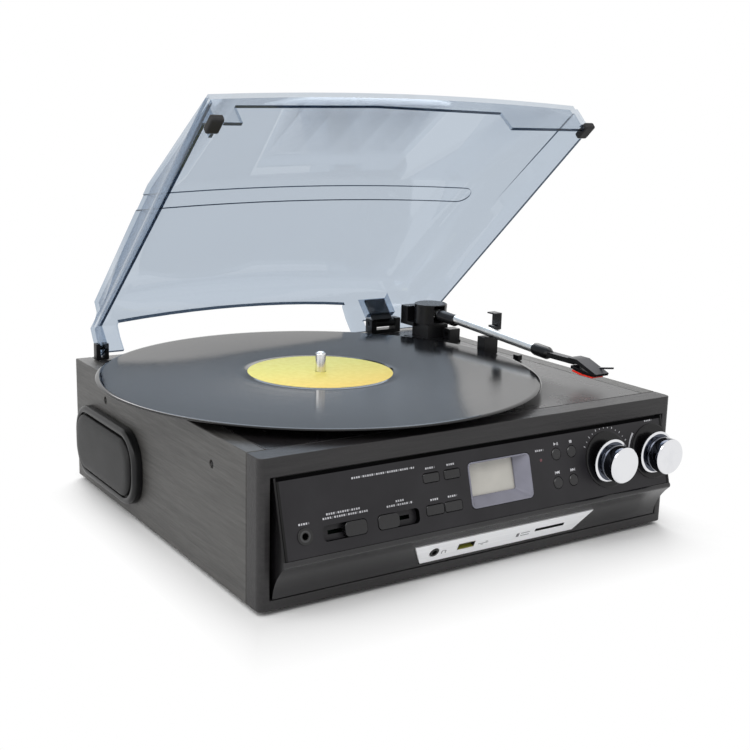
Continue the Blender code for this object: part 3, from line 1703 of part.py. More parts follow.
def groove_cutter(hinge, top):
    """The shallow groove across the top, round at its right end."""
    middle = (GROOVE_FRONT + GROOVE_REAR) / 2
    half = (GROOVE_REAR - GROOVE_FRONT) / 2
    inner = LID_W / 2 - LID_STAGE
    round_start = GROOVE_END - half
    stations = [(-LID_W / 2 - OVERRUN, half)]
    for slice_number in range(LID_SLICES + 1):
        across = inner * (2 * slice_number / LID_SLICES - 1)
        if across < round_start:
            stations.append((across, half))
    for step in range(7):
        turn = step / 6 * math.radians(84)
        stations.append((round_start + half * math.sin(turn), half * math.cos(turn)))
    rings = []
    for across, reach in stations:
        front = top_height(across, middle - reach) - GROOVE_DEEP
        rear = top_height(across, middle + reach) - GROOVE_DEEP
        rings.append(
            [
                lid_point(across, middle - reach, front),
                lid_point(across, middle + reach, rear),
                lid_point(across, middle + reach, rear + top),
                lid_point(across, middle - reach, front + top),
            ]
        )
    return loft("top_groove", hinge, rings, (0, 0, 0))


def top_height(across, depth):
    """Height of the shut lid's top behind its bend, where it is nearly level."""
    rise = LID_RISE if depth > LID_RISE.x else LID_FRONT_TOP
    slope = (LID_REAR_TOP - LID_RISE) if depth > LID_RISE.x else (LID_RISE - LID_FRONT_TOP)
    crown = LID_CROWN * max(0, 1 - (2 * across / LID_W) ** 2)
    return rise.y + (depth - rise.x) * slope.y / slope.x + crown


def build_hinges(root, hinge):
    black = finish("hinge_black", (0.015, 0.015, 0.016), 0.4)
    floor = DECK + GAP
    cheek_left = RIGHT_BASE_LEFT + CHEEK_T
    cheek_right = RIGHT_BASE_RIGHT - CHEEK_T
    base = block(
        "right_hinge_base",
        root,
        (RIGHT_BASE_LEFT, RIGHT_BASE_FRONT, floor),
        (RIGHT_BASE_RIGHT, RIGHT_BASE_REAR, floor + RIGHT_BASE_H),
        black,
        FINE_EDGE,
    )
    slot = block(
        "right_hinge_slot",
        root,
        (cheek_left, RIGHT_BASE_FRONT - OVERRUN, floor + HINGE_FLOOR),
        (cheek_right, RIGHT_BASE_REAR + OVERRUN, floor + RIGHT_BASE_H + OVERRUN),
    )
    bore = rod(
        "right_hinge_bore",
        root,
        PIN_BORE_R,
        RIGHT_BASE_LEFT - OVERRUN,
        RIGHT_BASE_RIGHT + OVERRUN,
        (0, HINGE_Y, HINGE_Z),
        face=FACE_RIGHT,
    )
    cut(base, slot, bore)
    leaf = rod(
        "right_hinge_leaf",
        hinge,
        KNUCKLE_R,
        cheek_left + FINE_EDGE,
        cheek_right - FINE_EDGE,
        (0, 0, 0),
        black,
        FACE_RIGHT,
        steps=20,
    )
    pins = rod(
        "right_hinge_pins",
        hinge,
        PIN_R,
        RIGHT_BASE_LEFT + FINE_EDGE,
        RIGHT_BASE_RIGHT - FINE_EDGE,
        (0, 0, 0),
        face=FACE_RIGHT,
    )
    arm = block(
        "leaf_arm",
        hinge,
        lid_point(cheek_left + 2 * FINE_EDGE, LEAF_Y, LEAF_ARM_LOW),
        lid_point(LEAF_RIGHT - FINE_EDGE, HINGE_Y, LEAF_ARM_LOW + LEAF_ARM_T),
    )
    blade = block(
        "leaf_blade",
        hinge,
        lid_point(LEAF_LEFT, LEAF_Y - LEAF_T / 2, LEAF_ARM_LOW - FINE_EDGE),
        lid_point(LEAF_RIGHT, LEAF_Y + LEAF_T / 2, LEAF_TOP),
    )
    join(leaf, pins, arm, blade)
    fork = block(
        "left_hinge_base",
        root,
        (-LEFT_BASE_LEFT, LEFT_BASE_FRONT, floor),
        (-LEFT_BASE_RIGHT, LEFT_BASE_REAR, floor + LEFT_BASE_H),
        black,
        FINE_EDGE,
    )
    wall_slot = block(
        "left_hinge_slot",
        root,
        (-LID_W / 2 - FORK_CLEAR, LEFT_BASE_FRONT - OVERRUN, floor + HINGE_FLOOR / 2),
        (-LID_W / 2 + LID_T + FORK_CLEAR, LEFT_BASE_REAR + OVERRUN, floor + LEFT_BASE_H + OVERRUN),
    )
    pin = rod(
        "left_hinge_pin",
        root,
        PIN_R,
        -LEFT_BASE_LEFT + FINE_EDGE,
        -LEFT_BASE_RIGHT - FINE_EDGE,
        (0, HINGE_Y, HINGE_Z),
        face=FACE_RIGHT,
    )
    cut(fork, wall_slot)
    join(fork, pin)


def build_arm_base(root):
    black = finish("arm_black", (0.015, 0.015, 0.017), 0.35)
    floor = DECK + GAP
    base = block(
        "arm_base",
        root,
        (PLINTH_LEFT, PLINTH_FRONT, floor),
        (PLINTH_RIGHT, PLINTH_REAR, floor + PLINTH_T),
        black,
        FINE_EDGE,
    )
    tower_top = DECK + TOWER_UP
    tower = block(
        "arm_tower",
        root,
        (ARM_X - TOWER_W / 2, ARM_Y - TOWER_L / 2, floor + PLINTH_T / 2),
        (ARM_X + TOWER_W / 2, ARM_Y + TOWER_L / 2, tower_top),
    )
    shelf = block(
        "arm_shelf",
        root,
        (TAIL_LEFT, ARM_Y + TOWER_L / 4, tower_top - SHELF_T),
        (TAIL_RIGHT, TAIL_REAR, tower_top),
    )
    tail = block(
        "arm_tail",
        root,
        (TAIL_LEFT, TAIL_FRONT, tower_top - SHELF_T),
        (TAIL_RIGHT, TAIL_REAR, DECK + TAIL_UP),
        edge=FINE_EDGE,
    )
    bracket = block(
        "arm_bracket",
        root,
        (BRACKET_LEFT, BRACKET_FRONT, floor + PLINTH_T / 2),
        (BRACKET_RIGHT, BRACKET_REAR, DECK + BRACKET_UP),
        edge=FINE_EDGE,
    )
    eye = rod(
        "bracket_eye",
        root,
        BRACKET_EYE_R,
        BRACKET_LEFT - OVERRUN,
        BRACKET_RIGHT + OVERRUN,
        (0, (BRACKET_FRONT + BRACKET_REAR) / 2, floor + PLINTH_T + 2 * BRACKET_EYE_R),
        face=FACE_RIGHT,
        steps=12,
    )
    bore = rod(
        "shaft_bore",
        root,
        SHAFT_BORE_R,
        -SHAFT_DEEP - GAP,
        OVERRUN,
        (ARM_X, ARM_Y, tower_top),
        steps=20,
    )
    join(base, tower, shelf, tail, bracket)
    cut(base, eye, bore)
    return black


def build_turret(root, black):
    floor = DECK + TOWER_UP + GAP
    top = DECK + TURRET_TOP_UP
    cap_top = top + CAP_T
    spot = (ARM_X, ARM_Y, 0)
    turret = turned(
        "arm_turret",
        root,
        [
            (0, cap_top),
            (CAP_R - CAP_EDGE, cap_top),
            (CAP_R, cap_top - CAP_EDGE / 2),
            (CAP_R, top),
            (TURRET_R, top),
            (TURRET_R, floor),
            (SHAFT_R, floor),
            (SHAFT_R, floor - SHAFT_DEEP),
            (0, floor - SHAFT_DEEP),
        ],
        spot,
        black,
        steps=28,
    )
    half = TURRET_SLOT / 2
    slot = block(
        "turret_slot",
        root,
        (ARM_X - half, ARM_Y - CAP_R - OVERRUN, floor + TURRET_FLOOR),
        (ARM_X + half, ARM_Y + CAP_R + OVERRUN, top + CAP_RELIEF),
    )
    bearing = rod(
        "trunnion_bore",
        root,
        TRUNNION_R + GAP,
        -TRUNNION_REACH - GAP,
        TRUNNION_REACH + GAP,
        (ARM_X, ARM_Y, ARM_PIVOT_Z),
        face=FACE_RIGHT,
        steps=12,
    )
    cut(turret, slot, bearing)


def build_arm(root, tilt, black):
    silver = finish("arm_silver", (0.72, 0.73, 0.72), 0.25, 0.9)
    lead = finish("weight_metal", (0.25, 0.25, 0.26), 0.45, 1.0)
    red = finish("stylus_red", (0.75, 0.04, 0.02), 0.35)
    grey = finish("head_grey", (0.30, 0.31, 0.33), 0.35, 0.3)
    tube = rod(
        "arm_tube",
        tilt,
        ARM_R,
        -ARM_TUBE_TAIL,
        ARM_TUBE_LENGTH,
        (0, 0, ARM_TUBE_UP),
        silver,
        FACE_FRONT,
        steps=16,
    )
    body = block(
        "arm_block",
        tilt,
        (-ARM_BLOCK_W / 2, -ARM_BLOCK_L / 2, -ARM_BLOCK_H / 2),
        (ARM_BLOCK_W / 2, ARM_BLOCK_L / 2, ARM_BLOCK_H / 2),
    )
    trunnions = rod(
        "trunnions",
        tilt,
        TRUNNION_R,
        -TRUNNION_REACH,
        TRUNNION_REACH,
        (0, 0, 0),
        face=FACE_RIGHT,
        steps=12,
    )
    join(tube, body, trunnions)
    block(
        "balance_weight",
        tilt,
        (-WEIGHT_W / 2, ARM_TUBE_TAIL + GAP, ARM_TUBE_UP - WEIGHT_H / 2),
        (WEIGHT_W / 2, ARM_TUBE_TAIL + GAP + WEIGHT_L, ARM_TUBE_UP + WEIGHT_H / 2),
        lead,
        FINE_EDGE,
    )
    build_head(root, tilt, black, grey)
    build_cartridge(root, black, red)


def ahead(forward):
    """Place in front of the arm's pivot, along the cabinet's depth."""
    return ARM_Y - forward


def build_head(root, tilt, black, grey):
    """Ferrule, neck and cover in one moulding."""
    start = ARM_TUBE_LENGTH - HEAD_TUBE_IN
    head = turned(
        "headshell",
        tilt,
        [
            (0, FERRULE_FRONT),
            (FERRULE_R / 2, FERRULE_FRONT),
            (FERRULE_R, FERRULE_FRONT - FERRULE_R),
            (FERRULE_R, start + FERRULE_R / 2),
            (ARM_R + FINE_EDGE, start),
            (ARM_R + GAP, start),
            (ARM_R + GAP, ARM_TUBE_LENGTH + GAP),
            (0, ARM_TUBE_LENGTH + GAP),
        ],
        (0, 0, ARM_TUBE_UP),
        grey,
        FACE_FRONT,
        steps=16,
        closed=True,
    )
    neck = prism(
        "head_neck",
        root,
        [
            (ahead(FERRULE_FRONT - FERRULE_R), DECK + NECK_TOP),
            (ahead(FERRULE_FRONT - FERRULE_R), DECK + NECK_LOW),
            (ahead(COVER_BACK + COVER_T), DECK + NECK_LOW),
            (ahead(COVER_BEND), DECK + COVER_BEND_TOP - COVER_T / 2),
            (ahead(COVER_BEND - COVER_T), DECK + COVER_BEND_TOP - COVER_T / 2),
        ],
        ARM_X - NECK_W / 2,
        ARM_X + NECK_W / 2,
        face=FACE_RIGHT,
    )
    cover = prism(
        "head_cover",
        root,
        [
            (ahead(COVER_BACK), DECK + COVER_BACK_TOP),
            (ahead(COVER_BACK), DECK + COVER_BACK_TOP - COVER_T / 2),
            (ahead(COVER_BEND - COVER_T / 2), DECK + COVER_BEND_TOP - COVER_T),
            (ahead(COVER_FRONT), DECK + COVER_FRONT_LOW),
            (ahead(COVER_FRONT + COVER_T / 4), DECK + COVER_FRONT_TOP),
            (ahead(COVER_BEND), DECK + COVER_BEND_TOP),
        ],
        ARM_X - COVER_W / 2,
        ARM_X + COVER_W / 2,
        face=FACE_RIGHT,
    )
    run = Vector((0, ahead(LIFT_END) - ahead(LIFT_START), LIFT_END_UP - LIFT_START_UP))
    lift = rod(
        "finger_lift",
        root,
        LIFT_R,
        0,
        run.length,
        (ARM_X + LIFT_OUT, ahead(LIFT_START), DECK + LIFT_START_UP),
        steps=8,
    )
    lift.rotation_euler = run.to_track_quat("Z", "Y").to_euler()
    join(head, neck, cover, lift)


def build_cartridge(root, black, red):
    slope_down = (COVER_FRONT_LOW - COVER_BEND_TOP + COVER_T) / (COVER_FRONT - COVER_BEND)
    under_back = DECK + NECK_LOW - GAP
    meet = COVER_BACK + COVER_T
    front_top = DECK + COVER_BEND_TOP - COVER_T + slope_down * (CARTRIDGE_FRONT - COVER_BEND)
    bend_top = DECK + COVER_BEND_TOP - COVER_T
    prism(
        "cartridge",
        root,
        [
            (ahead(CARTRIDGE_BACK), under_back),
            (ahead(CARTRIDGE_BACK), DECK + CARTRIDGE_LOW_BACK),
            (ahead(STYLUS_TIP_FORWARD), DECK + CARTRIDGE_LOW_FRONT),
            (ahead(CARTRIDGE_FRONT), DECK + CARTRIDGE_LOW_FRONT),
            (ahead(CARTRIDGE_FRONT), front_top - FINE_EDGE),
            (ahead(meet + (COVER_BEND - meet) / 2), min(bend_top, under_back) - GAP),
        ],
        ARM_X - CARTRIDGE_W / 2,
        ARM_X + CARTRIDGE_W / 2,
        black,
        FACE_RIGHT,
    )
    stylus = prism(
        "stylus_holder",
        root,
        [
            (ahead(STYLUS_BACK), DECK + CARTRIDGE_LOW_BACK - GAP - FINE_EDGE),
            (ahead(STYLUS_BACK + FINE_EDGE), DECK + STYLUS_LOW + 2 * FINE_EDGE),
            (ahead(STYLUS_TIP_FORWARD - 4 * FINE_EDGE), DECK + STYLUS_LOW),
            (ahead(STYLUS_FRONT), DECK + STYLUS_LOW),
            (ahead(STYLUS_FRONT), DECK + CARTRIDGE_LOW_FRONT - GAP),
            (ahead(STYLUS_TIP_FORWARD), DECK + CARTRIDGE_LOW_FRONT - GAP),
        ],
        ARM_X - STYLUS_W / 2,
        ARM_X + STYLUS_W / 2,
        red,
        FACE_RIGHT,
    )
    tip_low = REC_TOP + STYLUS_TIP_CLEAR
    tip = turned(
        "stylus_tip",
        root,
        [
            (0, DECK + STYLUS_LOW + FINE_EDGE),
            (STYLUS_TIP_R, DECK + STYLUS_LOW + FINE_EDGE),
            (STYLUS_TIP_R / 2, tip_low),
            (0, tip_low),
        ],
        (ARM_X, ahead(STYLUS_TIP_FORWARD), 0),
        steps=8,
    )
    join(stylus, tip)


def build_rest(root, black):
    floor = DECK + GAP
    slope = math.tan(ARM_SLOPE)
    tube_z = ARM_PIVOT_Z + ARM_TUBE_UP - (ARM_Y - REST_Y) * slope
    saddle = tube_z - ARM_R / math.cos(ARM_SLOPE) - GAP - REST_L / 2 * slope
    pivot_x = REST_RIGHT - LUG_W / 2
    pivot_z = DECK + CLIP_PIVOT_UP
    post = block(
        "arm_rest",
        root,
        (REST_LEFT, REST_Y - REST_L / 2, floor),
        (REST_RIGHT, REST_Y + REST_L / 2, saddle),
        black,
        FINE_EDGE,
    )
    foot = block(
        "rest_foot",
        root,
        (REST_LEFT - REST_FOOT_T, REST_Y - REST_FOOT_W / 2, floor),
        (REST_RIGHT + REST_FOOT_T, REST_Y + REST_FOOT_W / 2, floor + REST_FOOT_T),
    )
    lug = prism(
        "rest_lug",
        root,
        [
            (REST_RIGHT - LUG_W, saddle - FINE_EDGE * 2),
            (REST_RIGHT, saddle - FINE_EDGE * 2),
            *arc((pivot_x, pivot_z), LUG_W / 2, 0, 180, 8),
        ],
        -REST_Y - LUG_L / 2,
        -REST_Y + LUG_L / 2,
        face=FACE_FRONT,
    )
    bore = rod(
        "clip_bore",
        root,
        CLIP_BORE_R,
        -REST_Y - LUG_L,
        -REST_Y + LUG_L,
        (pivot_x, 0, pivot_z),
        face=FACE_FRONT,
        steps=12,
    )
    join(post, foot, lug)
    cut(post, bore)
    half = REST_L / 2
    clip = block(
        "arm_clip",
        root,
        (pivot_x + CLIP_OFF, REST_Y - half, pivot_z - CLIP_PIN_R),
        (pivot_x + CLIP_OFF + CLIP_T, REST_Y + half, pivot_z + CLIP_REACH),
        black,
    )
    hook = block(
        "clip_hook",
        root,
        (pivot_x + CLIP_OFF - CLIP_HOOK, REST_Y - half, pivot_z + CLIP_REACH - CLIP_HOOK_T),
        (pivot_x + CLIP_OFF + CLIP_T, REST_Y + half, pivot_z + CLIP_REACH),
    )
    tools = [hook]
    for name, side in (("front", -1), ("rear", 1)):
        near = REST_Y + side * (LUG_L / 2 + GAP)
        far = REST_Y + side * (LUG_L / 2 + GAP + CLIP_CHEEK_T)
        tools.append(
            block(
                name + "_clip_cheek",
                root,
                (pivot_x - CLIP_BORE_R, min(near, far), pivot_z - CLIP_BORE_R),
                (pivot_x + CLIP_OFF + CLIP_T / 2, max(near, far), pivot_z + CLIP_BORE_R),
            )
        )
    tools.append(
        rod(
            "clip_pin",
            root,
            CLIP_PIN_R,
            -REST_Y - LUG_L / 2 - CLIP_CHEEK_T,
            -REST_Y + LUG_L / 2 + CLIP_CHEEK_T,
            (pivot_x, 0, pivot_z),
            face=FACE_FRONT,
            steps=12,
        )
    )
    join(clip, *tools)


def build_lever(root, black):
    lever = block(
        "speed_lever",
        root,
        (LEVER_X - LEVER_W / 2, LEVER_Y - LEVER_L / 2, DECK - LEVER_DOWN),
        (LEVER_X + LEVER_W / 2, LEVER_Y + LEVER_L / 2, DECK + LEVER_KNOB_UP - FINE_EDGE),
        black,
    )
    knob = block(
        "lever_knob",
        root,
        (
            LEVER_X - LEVER_KNOB_W / 2,
            LEVER_Y - LEVER_KNOB_L / 2,
            DECK + LEVER_KNOB_UP - LEVER_KNOB_T,
        ),
        (LEVER_X + LEVER_KNOB_W / 2, LEVER_Y + LEVER_KNOB_L / 2, DECK + LEVER_KNOB_UP),
        edge=FINE_EDGE,
    )
    plate = block(
        "lever_plate",
        root,
        (
            LEVER_X - LEVER_W / 2 - LEVER_PLATE_OUT,
            LEVER_Y - LEVER_L / 2 - LEVER_PLATE_OUT,
            DECK_LOW - GAP - LEVER_PLATE,
        ),
        (
            LEVER_X + LEVER_W / 2 + LEVER_PLATE_OUT,
            LEVER_Y + LEVER_L / 2 + LEVER_PLATE_OUT,
            DECK_LOW - GAP,
        ),
    )
    join(lever, knob, plate)


def main():
    leftmost = REC_X - REC_R
    rightmost = CAB_W / 2 + GAP + GRILLE_PROUD
    ledge = LID_LEDGE_REAR - Vector((HINGE_Y, HINGE_UP))
    rearmost = HINGE_Y + ledge.x * math.cos(LID_OPEN) + ledge.y * math.sin(LID_OPEN)
    centre = Vector((leftmost + rightmost, rearmost - KNOB_FACE, 0)) / 2
    root = empty("record_player_origin", None, -centre)
    slope = empty("slope_frame", root, (0, FRONT_Y, BOX_LOW + SLOPE_TOP), -SLOPE_LEAN)
    strip_rise = cove_out(STRIP_TOP) - cove_out(STRIP_FOOT)
    strip_mid = (cove_out(STRIP_TOP) + cove_out(STRIP_FOOT)) / 2
    strip_frame = empty(
        "strip_frame",
        root,
        (0, FRONT_Y - strip_mid, BOX_LOW + (STRIP_TOP + STRIP_FOOT) / 2),
        math.atan(strip_rise / (STRIP_TOP - STRIP_FOOT)),
    )
    hinge = empty("lid_hinge_axis", root, (0, HINGE_Y, HINGE_Z), -LID_OPEN)
    tilt = empty("arm_lift_axis", root, (ARM_X, ARM_Y, ARM_PIVOT_Z), ARM_SLOPE)
    bpy.context.view_layer.update()
    build_cabinet(root)
    build_sides(root)
    build_fascia(root, slope, strip_frame)
    build_control_panel(root, slope)
    build_buttons(slope)
    build_switches(slope)
    build_display(slope)
    build_board(root, slope)
    build_knobs(root)
    build_ports(slope, strip_frame)
    build_turntable(root)
    build_drive(root)
    build_lid(root, hinge)
    build_hinges(root, hinge)
    black = build_arm_base(root)
    build_turret(root, black)
    build_arm(root, tilt, black)
    build_rest(root, black)
    build_lever(root, black)


clear_scene()
PARTS = new_collection("record_player")
CUTTERS = new_collection("cutters")
main()
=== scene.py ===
"""Record player: the finish of every surface, the finer visible pieces and the studio."""

import functools
import json
import math

import bmesh
import bpy
from mathutils import Matrix, Vector


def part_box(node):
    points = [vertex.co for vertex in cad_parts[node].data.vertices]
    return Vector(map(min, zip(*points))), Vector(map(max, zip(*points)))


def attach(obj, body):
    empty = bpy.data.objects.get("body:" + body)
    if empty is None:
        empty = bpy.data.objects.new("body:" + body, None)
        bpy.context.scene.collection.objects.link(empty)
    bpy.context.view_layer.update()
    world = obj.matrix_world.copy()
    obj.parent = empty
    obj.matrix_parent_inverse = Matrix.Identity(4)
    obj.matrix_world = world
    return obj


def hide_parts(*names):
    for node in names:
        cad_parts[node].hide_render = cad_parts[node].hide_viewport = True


bl_info = {
    "name": "Record Player Looks",
    "version": (1, 0, 0),
    "blender": (4, 5, 0),
    "location": "View3D > Sidebar > Record Player",
    "description": "Dresses a record player with its finishes and sets it in a studio",
    "category": "Object",
}

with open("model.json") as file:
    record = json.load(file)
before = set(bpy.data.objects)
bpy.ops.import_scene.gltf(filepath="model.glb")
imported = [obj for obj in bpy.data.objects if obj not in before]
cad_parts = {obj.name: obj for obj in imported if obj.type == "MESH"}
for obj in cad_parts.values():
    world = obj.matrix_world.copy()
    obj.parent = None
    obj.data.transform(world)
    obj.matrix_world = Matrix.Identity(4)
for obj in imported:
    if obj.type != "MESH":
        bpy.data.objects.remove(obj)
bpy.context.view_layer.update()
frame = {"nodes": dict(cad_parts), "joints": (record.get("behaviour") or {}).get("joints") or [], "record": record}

# The box of a node, kept because every face of a piece asks for it
box_of = functools.cache(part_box)

# Distance at which points are one, and the way up
WELD = 0.00001
UP = Vector((0, 0, 1))

# Lean of the control panel, turn of the open lid, and the tone arm's slope and radius
LEAN = math.atan(12 / 43)
LID_OPEN = math.radians(41.6)
ARM_SLOPE = math.radians(3.4)
ARM_TUBE_R = 0.0035

# Angles from which an edge is sharp: on a plain piece, for the bevel, once bevelled, on
# the grilles and on the lid. Edges flatter than the last dissolve
SHARP = math.radians(32)
BEVELLED_FROM = math.radians(28)
SHARP_BEVELLED = math.radians(50)
SHARP_GRILLE = math.radians(60)
SHARP_LID = math.radians(24)
FLAT = math.radians(0.4)

# Share of a normal along a way from which its face looks that way, plainly or roughly
FACING = 0.7
ROUGHLY_FACING = 0.5

# Places of the joints that turn and of the cabinet's solids, in the row frame
JOINTS = {joint["name"]: Vector(joint["pos_m"]) for joint in frame["joints"] if "pos_m" in joint}
SPINDLE = JOINTS["platter_spin"]
LID_AXIS = JOINTS["lid_hinge"]
ARM_AXIS = JOINTS["arm_lift"]
CABINET_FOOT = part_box("left_side_panel")[0].z
CABINET_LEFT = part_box("left_side_panel")[0].x
CABINET_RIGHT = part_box("right_side_panel")[1].x
CABINET_MID = (CABINET_LEFT + CABINET_RIGHT) / 2
FRONT_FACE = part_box("front_frame")[0].y
CABINET_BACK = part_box("back_panel")[1].y

# Grille's corner radius, which its finish and its form share, and the inset of its groove
GRILLE_ROUND = 0.022
GRILLE_RIM = 0.0054

# Control panel's strip of painted shade at each side, in its gap, and the aux jack's height and its grey ring's
# radii
PANEL_GAP_SHADE = 0.0014
AUX_HEIGHT = 0.0439
AUX_RING = (0.0023, 0.0033)

# Share of the lid that shines: face on, what haze adds, and what looking along it adds
SHINE = 0.03
SHINE_HAZE = 0.015
SHINE_EDGE_ON = 0.4

# Patterns of the record, the label, the grilles and the screen, by radius, pitch and width
GROOVED = (0.0595, 0.1465)
QUIET_BANDS = (0.0672, 0.0795, 0.0918, 0.1037, 0.1166, 0.1302)
QUIET_HALF = 0.00055
GROOVE_PITCH = 0.0007
SWELL_PITCH = 0.0053
LEDGE_R = 0.017
LEDGE_HALF = 0.0009
# Half width of the grille's groove, which is painted black as shade
GRILLE_GROOVE_HALF = 0.0008
CLOTH_PITCH = 0.0016
CELL_PITCH = 0.0009


class Value:
    """An output socket, whose sums in Python add Math nodes."""

    def __init__(self, finish, socket):
        self.finish = finish
        self.socket = socket

    def maths(self, operation, first, second=None):
        """One Math node on this socket and another value."""
        values = {0: first} if second is None else {0: first, 1: second}
        return self.finish.node("ShaderNodeMath", {"operation": operation}, values)

    def __add__(self, other):
        return self.maths("ADD", self, other)

    __radd__ = __add__

    def __sub__(self, other):
        return self.maths("SUBTRACT", self, other)

    def __rsub__(self, other):
        return self.maths("SUBTRACT", other, self)

    def __mul__(self, other):
        return self.maths("MULTIPLY", self, other)

    __rmul__ = __mul__

    def __lt__(self, other):
        return self.maths("LESS_THAN", self, other)

    def __gt__(self, other):
        return self.maths("GREATER_THAN", self, other)

    def __pow__(self, other):
        return self.maths("POWER", self, other)

    def wave(self, pitch):
        """A sine that repeats at each pitch."""
        return self.maths("SINE", self * (2 * math.pi / pitch))

    def size(self):
        """The value without its sign."""
        return self.maths("ABSOLUTE", self)

    def root(self):
        """The square root."""
        return self.maths("SQRT", self)

    def or_more(self, other):
        """The larger of the two."""
        return self.maths("MAXIMUM", self, other)

    def ramp(self, low, high):
        """0 at low and 1 at high, even between them."""
        settings = {"interpolation_type": "LINEAR"}
        ends = {"Value": self, "From Min": low, "From Max": high}
        return self.finish.node("ShaderNodeMapRange", settings, ends)


class Nodes:
    """A node tree, and the one way in which nodes are put in it."""

    def __init__(self, tree):
        self.tree = tree

    def put(self, socket, value):
        """Links or sets a socket, and gives a colour of three numbers its fourth."""
        if isinstance(value, Value):
            self.tree.links.new(value.socket, socket)
        elif hasattr(value, "__len__") and len(socket.default_value) == 4 and len(value) == 3:
            socket.default_value = (*value, 1)
        else:
            socket.default_value = value

    def node(self, kind, settings=None, values=None, output=0):
        """One output of a new node, whose settings come before its sockets' values."""
        made = self.tree.nodes.new(kind)
        for key, value in (settings or {}).items():
            setattr(made, key, value)
        for key, value in (values or {}).items():
            self.put(made.inputs[key], value)
        return Value(self, made.outputs[output])

    def white_rays(self):
        """1 on the rays that see white surroundings: the camera's, gloss and clear plastic."""
        rays = ("Is Camera Ray", "Is Glossy Ray", "Is Transmission Ray")
        camera, gloss, through = (self.node("ShaderNodeLightPath", output=ray) for ray in rays)
        return camera.or_more(gloss).or_more(through)


class Finish(Nodes):
    """One material: its Principled shader, and the nodes that vary it."""

    def __init__(self, name, colour, roughness, metallic=0.0, **sockets):
        self.material = bpy.data.materials.new(name)
        self.material.use_nodes = True
        super().__init__(self.material.node_tree)
        self.shader = self.tree.nodes["Principled BSDF"]
        self.set("Base Color", colour)
        self.set("Roughness", roughness)
        self.set("Metallic", metallic)
        for socket, value in sockets.items():
            self.set(socket.replace("_", " "), value)

    def set(self, socket, value):
        self.put(self.shader.inputs[socket], value)

    def surface(self, share, under, over):
        """Shows a share of one shader over another."""
        both = self.node("ShaderNodeMixShader", values={0: share, 1: under, 2: over})
        self.put(self.tree.nodes["Material Output"].inputs["Surface"], both)

    def own_shader(self):
        """The Principled shader itself."""
        return Value(self, self.shader.outputs[0])

    def place(self, centre=(0, 0, 0), scale=(1, 1, 1)):
        """Object coordinates, centred and stretched."""
        coordinates = self.node("ShaderNodeTexCoord", output="Object")
        moved = self.node(
            "ShaderNodeVectorMath", {"operation": "SUBTRACT"}, {0: coordinates, 1: tuple(centre)}
        )
        values = {"Vector": moved, "Scale": scale}
        return self.node("ShaderNodeMapping", {"vector_type": "POINT"}, values)

    def axes(self, vector):
        """The three numbers of a vector."""
        split = self.node("ShaderNodeSeparateXYZ", values={0: vector})
        return [Value(self, output) for output in split.socket.node.outputs]

    def radius(self, centre=(0, 0, 0)):
        """Distance from an upright line through centre."""
        across, along, _ = self.axes(self.place(centre))
        return (across * across + along * along).root()

    def rise(self, plane, spot):
        """How far right and how far up a front plane a point is, from a spot on it."""
        across, along, up = self.axes(self.place(spot))
        return across, along * plane.col[1].y + up * plane.col[1].z

    def noise(self, vector, scale, detail=3.0, roughness=0.5):
        """Soft noise from 0 to 1 along a vector."""
        values = {"Vector": vector, "Scale": scale, "Detail": detail, "Roughness": roughness}
        return self.node("ShaderNodeTexNoise", values=values)

    def rough(self, base, pattern, spread):
        """Roughness that a pattern carries away from its base."""
        self.set("Roughness", base + pattern * spread)

    def mix(self, share, first, second):
        """A colour between two, by the Mix node's colour sockets."""
        return self.node("ShaderNodeMix", {"data_type": "RGBA"}, {0: share, 6: first, 7: second}, 2)

    def bump(self, height, strength, distance):
        """Fine relief under the light."""
        values = {"Height": height, "Strength": strength, "Distance": distance}
        self.set("Normal", self.node("ShaderNodeBump", values=values))


def scaled(parts, times, more=0):
    """Each part of a colour or a stretch, times a number, and some more."""
    return tuple(part * times + more for part in parts)


def moulded(name, colour, roughness, grain=900, height=0.00002, **sockets):
    """Moulded plastic: a fine grain, and patches that are slightly more worn."""
    made = Finish(name, colour, roughness, **sockets)
    spot = made.place()
    patches = made.noise(spot, scale=28, detail=4)
    made.rough(roughness, patches - 0.5, spread=0.14)
    lighter = tuple(min(1, part * 1.5 + min(0.004, part)) for part in colour)
    made.set("Base Color", made.mix(patches.ramp(0.35, 0.75), colour, lighter))
    made.bump(made.noise(spot, grain, detail=2), strength=0.4, distance=height)
    return made.material


def metal(name, colour, roughness, brush=(900, 60, 60), height=0.000006):
    """Bare or plated metal with fine marks along one way."""
    made = Finish(name, colour, roughness, metallic=1.0)
    marks = made.noise(made.place(scale=brush), scale=1, detail=4, roughness=0.6)
    made.rough(roughness, marks - 0.5, spread=0.12)
    made.set("Base Color", made.mix(marks.ramp(0.3, 0.7), scaled(colour, 0.82), colour))
    made.bump(marks, strength=0.3, distance=height)
    return made.material


def chrome(name, colour, dull):
    """Bright plating, very slightly dull in patches from handling."""
    made = Finish(name, colour, 0.05, metallic=1.0)
    handled = made.noise(made.place(), scale=90)
    made.rough(0.045, handled.ramp(0.45, 0.8), spread=0.05)
    made.set("Base Color", made.mix(handled.ramp(0.5, 0.8) * 0.5, colour, dull))
    return made.material


def rubber(name, colour):
    """Dull rubber with dust in its fine grain."""
    made = Finish(name, colour, 0.7)
    spot = made.place()
    dust = made.noise(spot, scale=70, detail=5)
    dusty = scaled(colour, 2, more=0.006)
    made.set("Base Color", made.mix(dust.ramp(0.4, 0.8), colour, dusty))
    made.rough(0.62, dust, spread=0.2)
    made.bump(made.noise(spot, scale=1500, detail=2), strength=0.5, distance=0.00004)
    return made.material


